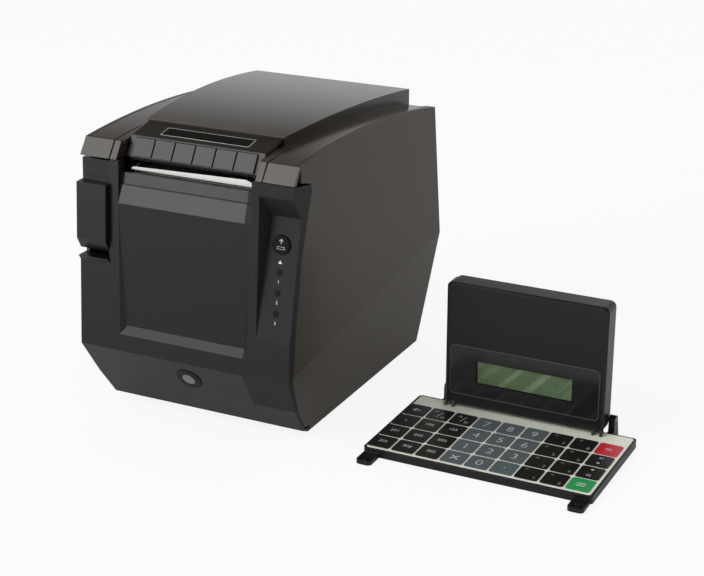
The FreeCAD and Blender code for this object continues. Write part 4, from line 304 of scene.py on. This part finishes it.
def liquid_crystal():
    """Reflective liquid crystal panel: yellow green, with the faint cells of its two lines of characters
    and a painted reflection: pale slanting streaks painted into its colour where its glass mirrors the
    room."""
    finish, tree = new_tree("liquid_crystal_panel")
    place = add(tree, "TexCoord")
    drift = add(tree, "TexNoise", [("Vector", place, "Object")],
                [("Scale", 1 / GLASS_CLOUD), ("Detail", 2.0)])
    shade = add(tree, "Mix", [(0, drift, "Fac")], [(6, linear("#647d53")), (7, linear("#728a60"))],
                data_type="RGBA")
    cells = add(tree, "Mapping", [("Vector", place, "Object")],
                [("Location", FIRST_CELL), ("Scale", (1 / CELL_WIDTH, 1.0, 1 / CELL_HEIGHT))])
    steps = add(tree, "VectorMath", [(0, cells, 0)], operation="FRACTION")
    ways = add(tree, "SeparateXYZ", [(0, steps, 0)])
    wide = add(tree, "Math", [(0, ways, "X")], [(1, CELL_GAP_ACROSS)], operation="GREATER_THAN")
    tall = add(tree, "Math", [(0, ways, "Z")], [(1, CELL_GAP_UP)], operation="GREATER_THAN")
    cell = add(tree, "Math", [(0, wide, 0), (1, tall, 0)], operation="MULTIPLY")
    faint = add(tree, "Math", [(0, cell, 0)], [(1, 0.22)], operation="MULTIPLY")
    shade = add(tree, "Mix", [(0, faint, 0), (6, shade, 2)], [(7, linear("#4b6341"))], data_type="RGBA")
    # Painted reflection: pale streaks mixed into the base colour stand for the room mirrored in the glass.
    slant = add(tree, "Mapping", [("Vector", place, "Object")],
                [("Rotation", PAINTED_REFLECTION_TURN), ("Scale", PAINTED_REFLECTION_STRETCH)], vector_type="TEXTURE")
    streaks = add(tree, "TexNoise", [("Vector", slant, 0)], [("Scale", 1 / PAINTED_REFLECTION_GRAIN), ("Detail", 1.5)])
    pale = add(tree, "MapRange", [("Value", streaks, "Fac")],
               [("From Min", 0.5), ("From Max", 0.72), ("To Max", 0.42)])
    shade = add(tree, "Mix", [(0, pale, 0), (6, shade, 2)], [(7, linear("#c3d2b4"))], data_type="RGBA")
    shader = add(tree, "BsdfPrincipled", [("Base Color", shade, 2)], [("Roughness", 0.35)])
    add(tree, "OutputMaterial", [("Surface", shader, 0)])
    return finish


# The roll: a point on its axis, and its rings, which are drawn this far apart to show.
ROLL_AXIS = (0.0, 7.2 * MM, 92.4 * MM)
RING_SPACING = 0.8 * MM
# A wave texture has a ring every 0.314 units at scale 1.
WAVE_PERIOD = 0.314


def wound_paper():
    """Thermal paper in a roll: pale and matt, with its layers on the ends as fine rings."""
    finish, tree = new_tree("wound_thermal_paper")
    place = add(tree, "TexCoord")
    middle = add(tree, "Mapping", [("Vector", place, "Object")],
                 [("Location", [-part for part in ROLL_AXIS])])
    rings = add(tree, "TexWave", [("Vector", middle, 0)],
                [("Scale", WAVE_PERIOD / RING_SPACING), ("Distortion", 0.6), ("Detail", 1.0)],
                wave_type="RINGS", rings_direction="X")
    shade = add(tree, "Mix", [(0, rings, "Fac")], [(6, linear("#d9d9d4")), (7, linear("#efefeb"))],
                data_type="RGBA")
    bumps = add(tree, "Bump", [("Height", rings, "Fac")], [("Strength", 0.2), ("Distance", 0.05 * MM)])
    shader = add(tree, "BsdfPrincipled", [("Base Color", shade, 2), ("Normal", bumps, 0)],
                 [("Roughness", 0.75), ("Specular IOR Level", 0.2)])
    add(tree, "OutputMaterial", [("Surface", shader, 0)])
    return finish


# One finish for each material slot.
FINISHES = {
    # Moulded ABS with a fine spark-eroded face: near black, with a broad dull sheen and paler edges.
    "charcoal_plastic": moulded("charcoal_abs", "#111112", "#161617", 0.30, gloss=0.25, rub=0.25),
    # The same face in a warmer shade: brownish grey, a little duller.
    "case_plastic": moulded("warm_grey_abs", "#352d23", "#3b3328", 0.38, gloss=0.26, rub=0.25),
    # Finely textured ABS: the pads catch the light as an even grey satin.
    "insert_plastic": moulded("satin_grey_abs", "#211d19", "#26221d", 0.34, gloss=0.42, rub=0.2),
    # Plain moulded ABS of the inner parts: flat black.
    "inner_plastic": moulded("black_inner_abs", "#141415", "#18181a", 0.5, gloss=0.35),
    # Polished mould wall: smooth, deep black.
    "button_plastic": moulded("smooth_black_button", "#0b0b0c", "#101011", 0.5, relief=0.06, gloss=0.16),
    # Moulded rubber: matt, without a sheen.
    "rubber": moulded("black_rubber", "#161616", "#1b1b1b", 0.7, gloss=0.3),
    # Zinc plating on rolled sheet: mid grey, softly streaked.
    "steel": metal("zinc_plated_steel", "#8d9094", "#a2a5a8", 0.34),
    # Tin plating: bright, with tighter reflections.
    "plated_steel": metal("bright_plated_steel", "#b9bbbd", "#cfd1d3", 0.18),
    # Milled aluminium: pale, with fine tool lines.
    "aluminium": metal("milled_aluminium", "#a9abad", "#bdbfc1", 0.3),
    # Moulded acetal: milky off-white, slightly waxy.
    "gear_plastic": moulded("natural_acetal", "#d6d0c2", "#dfdacd", 0.4, relief=0.1),
    # Coated paper: white, matt, with a faint tooth.
    "paper": moulded("thermal_paper", "#e9e9e5", "#f0f0ec", 0.75, grain=0.35, relief=0.3, gloss=0.2),
    # Wound grey board: brown, fibrous, quite matt.
    "cardboard": moulded("wound_cardboard", "#8c6e4c", "#98795a", 0.85, grain=0.6, relief=0.5, gloss=0.2),
    # Solder mask on glass fibre board: dark green, smooth.
    "circuit_board": moulded("green_solder_mask", "#14492b", "#1a5633", 0.35, relief=0.1),
    # Polyester film printed on its back: pale, with a soft even gloss.
    "overlay_film": moulded("pale_printed_film", "#e9ebdb", "#f3f4e6", 0.4, relief=0.08, gloss=0.4),
    # The same film over its printed key colours: each key has the film's gloss over its own ink.
    "key_black": moulded("black_key_print", "#12100f", "#181614", 0.36, relief=0.08, gloss=0.4, edge=0.2),
    "key_slate": moulded("slate_key_print", "#545d62", "#626c70", 0.34, relief=0.08, gloss=0.4, edge=0.2),
    "key_red": moulded("red_key_print", "#c01c28", "#c82430", 0.36, relief=0.08, gloss=0.4, edge=0.2),
    "key_green": moulded("green_key_print", "#269a50", "#30a45a", 0.36, relief=0.08, gloss=0.4, edge=0.2),
    "window_plastic": smoked_acrylic(),
    "lcd_glass": liquid_crystal(),
}

# Finishes of single nodes, which go before those of their slots.
OWN_FINISHES = {
    # The charcoal ABS, with the control recess eroded duller, so that it stays dark.
    "front_bezel": moulded("charcoal_abs_with_dull_recess", "#111112", "#161617", 0.30, gloss=0.25,
                           rub=0.25, dull_from=RECESS_STARTS),
    "paper_roll": wound_paper(),
    # Polished mould wall in the warm shade: the roof mirrors the room from dark to pale.
    "lid_shell": moulded("glossy_brown_abs", "#2c251d", "#322a22", 0.22, relief=0.12, gloss=0.4, rub=0.25),
    # Smoked, frosted polycarbonate: small matt black discs while the lamps are off.
    "status_lenses": moulded("matt_smoked_lens", "#0a0a0c", "#0e0e10", 0.5, relief=0.05, gloss=0.1),
    # Silicone rubber key: blacker than the panel round it.
    "feed_button": moulded("matt_black_button", "#080809", "#0b0b0c", 0.5, relief=0.05, gloss=0.08),
    # Opal polycarbonate: a cloudy mid grey disc.
    "power_lens": moulded("milky_lens", "#616365", "#707274", 0.35, relief=0.05, gloss=0.3),
    # Blackened spring steel: dark, with a faint shine on its teeth.
    "tear_bar": metal("blackened_steel", "#2c2d2f", "#3a3b3d", 0.4),
}

# Gold plating on spring bronze: warm yellow, bright.
GOLD = metal("gold_plated_contact", "#c79a4a", "#d8ae62", 0.25)
# Flame-polished acrylic edge, coloured pale grey as a painted highlight: the thin line of light round the
# window.
WINDOW_PAINTED_HIGHLIGHT = moulded("acrylic_edge_painted_highlight", "#4a4a48", "#5a5a57", 0.2, relief=0.02, edge=0.05)
# Polyester label film: black and glossier than the plastic under it.
LABEL_FILM = moulded("glossy_black_film", "#120e0b", "#17120e", 0.2, relief=0.04, gloss=0.45, edge=0.05)
# Screen printed ink: flat pale grey, and the same ink printed thinner.
PALE_INK = moulded("pale_screen_ink", "#c4c8c4", "#d2d6d2", 0.5, relief=0.05, edge=0.02)
DIM_INK = moulded("dim_screen_ink", "#8e8c84", "#a09e96", 0.5, relief=0.05, edge=0.02)


def dress_nodes():
    """Give every CAD node its own finish, or else that of its material slot."""
    slots = {part["node"]: part["material_slot"] for part in frame["record"]["subparts"]}
    for name, node in frame["nodes"].items():
        finish = OWN_FINISHES[name] if name in OWN_FINISHES else FINISHES[slots[name]]
        for place in node.material_slots:
            place.material = finish


# Pieces


def edit_all():
    """Open the active piece for editing with all of it selected."""
    bpy.ops.object.mode_set(mode="EDIT")
    bpy.ops.mesh.select_all(action="SELECT")


def settle(piece, place, lean=0.0):
    """Lean a piece back by degrees, put it in its place, and keep both in its mesh."""
    piece.rotation_euler = (math.radians(lean), 0, 0)
    piece.location = place
    bpy.ops.object.transform_apply(location=True, rotation=True, scale=True)


# A point on each cut of the paper's end and the side that is cut away: the slanting tear, then its two
# frayed corners.
TEARS = (
    ((-0.086, -0.089, 0.1568), (-0.033, 0, 1)),
    ((-0.1225, -0.089, 0.1562), (-0.5, 0, 1)),
    ((-0.0475, -0.089, 0.1572), (0.4, 0, 1)),
)
WELD = 0.01 * MM


def tear_paper():
    """The paper's free end, torn lower than the straight CAD end and slanting down to the left."""
    bpy.ops.object.select_all(action="DESELECT")
    web = frame["nodes"]["paper_web"]
    web.select_set(True)
    bpy.context.view_layer.objects.active = web
    bpy.ops.object.duplicate()
    paper = bpy.context.object
    paper.name = "torn_paper"
    edit_all()
    bpy.ops.mesh.remove_doubles(threshold=WELD)
    for spot, way in TEARS:
        bpy.ops.mesh.select_all(action="SELECT")
        bpy.ops.mesh.bisect(plane_co=spot, plane_no=way, use_fill=True, clear_outer=True)
    bpy.ops.object.mode_set(mode="OBJECT")
    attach(paper, "base")
    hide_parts("paper_web")


# The window's polished rim, painted grey as a highlight line, in millimetres.
HIGHLIGHT_RIM_INSET = 0.1
HIGHLIGHT_RIM_CORNER = 3.0
HIGHLIGHT_RIM_WIDTH = 0.3
HIGHLIGHT_RIM_THICK = 0.12


def add_window_highlight_rim():
    """The polished rim of the display window, a thin grey piece that paints the line of light it catches
    as a highlight.
    """
    low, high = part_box("display_window")
    bpy.ops.object.select_all(action="DESELECT")
    bpy.ops.mesh.primitive_plane_add(size=MM)
    rim = bpy.context.object
    rim.name = "window_edge_painted_highlight"
    edit_all()
    bpy.ops.transform.resize(value=((high[0] - low[0]) / MM - HIGHLIGHT_RIM_INSET,
                                    (high[2] - low[2]) / MM - HIGHLIGHT_RIM_INSET, 1))
    bpy.ops.mesh.bevel(offset=HIGHLIGHT_RIM_CORNER * MM, segments=6, affect="VERTICES")
    bpy.ops.mesh.inset(thickness=HIGHLIGHT_RIM_WIDTH * MM)
    bpy.ops.mesh.delete(type="FACE")
    bpy.ops.object.mode_set(mode="OBJECT")
    wall = rim.modifiers.new("thickness", "SOLIDIFY")
    wall.thickness = HIGHLIGHT_RIM_THICK * MM
    bpy.ops.object.modifier_apply(modifier="thickness")
    settle(rim, ((low[0] + high[0]) / 2, low[1] - HIGHLIGHT_RIM_THICK / 2 * MM, (low[2] + high[2]) / 2), lean=90)
    # The rim's pale grey is a painted highlight along the window's edge.
    rim.data.materials.append(WINDOW_PAINTED_HIGHLIGHT)
    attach(rim, "display_head")


def gather(pieces, name, finish, body):
    """Join pieces into one object that has a finish and rides on a body."""
    bpy.ops.object.select_all(action="DESELECT")
    for piece in pieces:
        piece.select_set(True)
    bpy.context.view_layer.objects.active = pieces[0]
    if len(pieces) > 1:
        bpy.ops.object.join()
    joined = bpy.context.object
    joined.name = name
    joined.data.materials.clear()
    joined.data.materials.append(finish)
    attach(joined, body)


def strip(low, size, round_by):
    """A straight metal strip or pin with softened edges, from its low corner and size in metres."""
    bpy.ops.object.select_all(action="DESELECT")
    bpy.ops.mesh.primitive_cube_add(size=1)
    piece = bpy.context.object
    edit_all()
    bpy.ops.transform.resize(value=size)
    bpy.ops.transform.translate(value=[corner + side / 2 for corner, side in zip(low, size)])
    bpy.ops.mesh.bevel(offset=round_by, segments=2)
    bpy.ops.object.mode_set(mode="OBJECT")
    return piece


# Contacts stand on the socket's lower wall, from its floor outwards.
SOCKET_WALL = 1.3 * MM
SOCKET_FLOOR = 4.0 * MM
# Socket, number of spring contacts, their pitch and width in millimetres.
CONTACT_ROWS = (("network_socket", 8, 1.1, 0.5), ("drawer_socket", 6, 1.2, 0.6))
CONTACT_LENGTH = 6.5 * MM
CONTACT_THICK = 0.5 * MM
CONTACT_ROUND = 0.1 * MM
TONGUE_LENGTH = 7.5 * MM
TONGUE_THICK = 2.0 * MM
TONGUE_MARGIN = 3.0 * MM
TONGUE_HEIGHT = 4.4 * MM
TONGUE_ROUND = 0.2 * MM
# The power socket's pins: side and length, and their places from the socket's middle in millimetres.
PIN_SIDE = 1.6 * MM
PIN_LENGTH = 7.0 * MM
PIN_ROUND = 0.3 * MM
PIN_PLACES = ((-2.6, -1.6), (2.6, -1.6), (0.0, 2.2))


def fit_contacts():
    """Spring contacts, the tongue and the pins in the rear sockets, standing on their inner walls."""
    contacts = []
    for socket, count, pitch, wide in CONTACT_ROWS:
        low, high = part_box(socket)
        first = (low[0] + high[0]) / 2 - pitch * MM * (count - 1) / 2
        for number in range(count):
            corner = (first + pitch * MM * number - wide * MM / 2, low[1] + SOCKET_FLOOR,
                      low[2] + SOCKET_WALL)
            contacts.append(strip(corner, (wide * MM, CONTACT_LENGTH, CONTACT_THICK), CONTACT_ROUND))
    gather(contacts, "socket_contacts", GOLD, "base")

    low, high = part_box("usb_socket")
    tongue = strip((low[0] + TONGUE_MARGIN, low[1] + SOCKET_FLOOR, low[2] + TONGUE_HEIGHT),
                   (high[0] - low[0] - 2 * TONGUE_MARGIN, TONGUE_LENGTH, TONGUE_THICK), TONGUE_ROUND)
    gather([tongue], "usb_tongue", OWN_FINISHES["power_lens"], "base")

    low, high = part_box("power_socket")
    pins = []
    for aside, above in PIN_PLACES:
        corner = ((low[0] + high[0]) / 2 + aside * MM - PIN_SIDE / 2, low[1] + SOCKET_FLOOR,
                  (low[2] + high[2]) / 2 + above * MM - PIN_SIDE / 2)
        pins.append(strip(corner, (PIN_SIDE, PIN_LENGTH, PIN_SIDE), PIN_ROUND))
    gather(pins, "power_pins", GOLD, "base")


# The label: its width and depth, the width and height of its border line, and its film, in millimetres.
LABEL_WIDTH = 58
LABEL_DEPTH = 9.4
LABEL_BORDER = 0.3
LABEL_RAISED = 0.01
LABEL_FILM_THICK = 0.08
LABEL_LEAN = 11.0
LABEL_PLACE = (-84.5 * MM, -70.9 * MM, 173.31 * MM)
# The border's faces are smaller than this in square millimetres, and the field is larger.
BORDER_AREA = 200


def stick_label():
    """Bare dark film label with a fine pale border line, on the insert's top face."""
    bpy.ops.object.select_all(action="DESELECT")
    bpy.ops.mesh.primitive_plane_add(size=MM)
    label = bpy.context.object
    label.name = "bare_label"
    edit_all()
    bpy.ops.transform.resize(value=(LABEL_WIDTH, LABEL_DEPTH, 1))
    bpy.ops.mesh.inset(thickness=LABEL_BORDER * MM)
    bpy.ops.mesh.extrude_region_move(TRANSFORM_OT_translate={"value": (0, 0, LABEL_RAISED * MM)})
    bpy.ops.object.mode_set(mode="OBJECT")
    label.data.materials.append(PALE_INK)
    label.data.materials.append(LABEL_FILM)
    for face in label.data.polygons:
        face.material_index = 1 if face.area > BORDER_AREA * MM * MM else 0
    wall = label.modifiers.new("film", "SOLIDIFY")
    wall.thickness = LABEL_FILM_THICK * MM
    wall.offset = -1
    bpy.ops.object.modifier_apply(modifier="film")
    settle(label, LABEL_PLACE, LABEL_LEAN)
    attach(label, "lid")


# Printed marks, in millimetres. A capital letter is this share of its font's size.
INK = 0.02
CAPITAL = 0.7


def mark(text, height, spot, lean=0.0, thin=0.0):
    """Screen printed mark, a few hundredths of a millimetre thick, centred on a spot given in
    millimetres. Thin draws its strokes in by that much."""
    bpy.ops.object.select_all(action="DESELECT")
    bpy.ops.object.text_add()
    text_piece = bpy.context.object
    text_piece.data.body = text
    text_piece.data.size = height * MM / CAPITAL
    text_piece.data.align_x = "CENTER"
    text_piece.data.extrude = INK * MM
    text_piece.data.offset = -thin * MM
    text_piece.data.resolution_u = 4
    bpy.ops.object.convert(target="MESH")
    piece = bpy.context.object
    low = min(corner[1] for corner in piece.bound_box)
    high = max(corner[1] for corner in piece.bound_box)
    edit_all()
    bpy.ops.transform.translate(value=(0, -(low + high) / 2, 0))
    bpy.ops.object.mode_set(mode="OBJECT")
    settle(piece, [part * MM for part in spot], lean)
    return piece


KEY_PITCH = (15.0, 15.9)
FIRST_KEY = (26.0, -21.65)
KEY_TOP = 5.4
DIGIT_KEYS = ("789", "456", "123", " 0,")
DIGIT_COLUMN = 3
NUMBERED_KEYS = ((1, 1), (1, 2), (2, 0), (2, 1), (2, 2), (3, 0), (3, 1), (3, 2))


def on_key(row, column, aside=0.0, above=0.0):
    """A spot on a key's face, from the key's middle."""
    return (FIRST_KEY[0] + KEY_PITCH[0] * column + aside, FIRST_KEY[1] - KEY_PITCH[1] * row + above,
            KEY_TOP + INK)


def print_keys():
    """Digits and plain key numbers on the keypad."""
    digits = [mark(text, 6.4, on_key(row, column + DIGIT_COLUMN), thin=0.12)
              for row, line in enumerate(DIGIT_KEYS) for column, text in enumerate(line)
              if text.strip()]
    digits.append(mark("×", 9.4, on_key(3, DIGIT_COLUMN), thin=0.16))
    gather(digits, "key_digits", PALE_INK, "base")

    numbers = [mark("=", 8.0, on_key(3, 8)), mark("00", 2.6, on_key(0, 8)),
               mark("▲", 1.8, on_key(1, 8, above=-2.6)), mark("▼", 1.8, on_key(2, 8, above=3.4)),
               mark("41", 2.2, on_key(1, 8, above=3.6)), mark("42", 2.2, on_key(2, 8, above=-3.4)),
               mark("←", 5.0, on_key(0, 0)), mark("*", 3.0, on_key(1, 0))]
    for column in (1, 2):
        numbers.append(mark("/", 7.0, on_key(0, column), thin=0.12))
        numbers.append(mark("%d" % (10 + column), 2.0, on_key(0, column, -3.2, 3.2)))
        numbers.append(mark("%d" % (20 + column), 2.0, on_key(0, column, 3.0, -3.2)))
    for row, column in NUMBERED_KEYS:
        numbers.append(mark("%d0%d" % (row, column + 1), 2.7, on_key(row, column, above=0.8)))
    gather(numbers, "key_numbers", PALE_INK, "base")

    small = []
    for row in range(4):
        for column in (6, 7):
            number = 7 - 2 * row + column - 6
            small.append(mark("%d" % number, 2.8, on_key(row, column, 3.9, -3.9)))
            small.append(mark("%d" % (30 + number), 1.6, on_key(row, column, -2.9, 4.4)))
    gather(small, "key_small_numbers", DIM_INK, "base")


# The leaning control panel, in millimetres: its middle line, and its face's y at a height.
PANEL_LEAN = 12.413
PANEL_X = -26.65
PANEL_Y = -90.818
PANEL_HEIGHT = 124.0
# How far the feed button stands proud of it, and the heights of the numbers under the lamps.
BUTTON_PROUD = 0.9
NUMBER_HEIGHTS = (103.6, 92.1, 80.6)


def on_panel(height, proud):
    """A spot on the leaning control panel at a height, and how far it stands proud."""
    lean = math.radians(PANEL_LEAN)
    return (PANEL_X, PANEL_Y - (PANEL_HEIGHT - height) * math.tan(lean) - proud * math.cos(lean),
            height + proud * math.sin(lean))


def print_panel():
    """Feed sign on the button, and plain numbers under the lamps."""
    upright = 90 - PANEL_LEAN
    sign = [mark("↑", 2.9, on_panel(125.9, BUTTON_PROUD + INK), upright),
            mark("▭", 3.4, on_panel(122.3, BUTTON_PROUD + INK), upright)]
    gather(sign, "feed_sign", PALE_INK, "feed_button")
    numbers = [mark("▲", 1.9, on_panel(114.6, INK), upright)]
    for number, height in enumerate(NUMBER_HEIGHTS):
        numbers.append(mark("%d" % (number + 1), 1.9, on_panel(height, INK), upright))
    gather(numbers, "lamp_numbers", PALE_INK, "base")


set_camera()
set_world()
for softbox in SOFTBOXES:
    add_softbox(*softbox)
set_floor()
dress_nodes()
tear_paper()
add_window_highlight_rim()
fit_contacts()
stick_label()
print_keys()
print_panel()
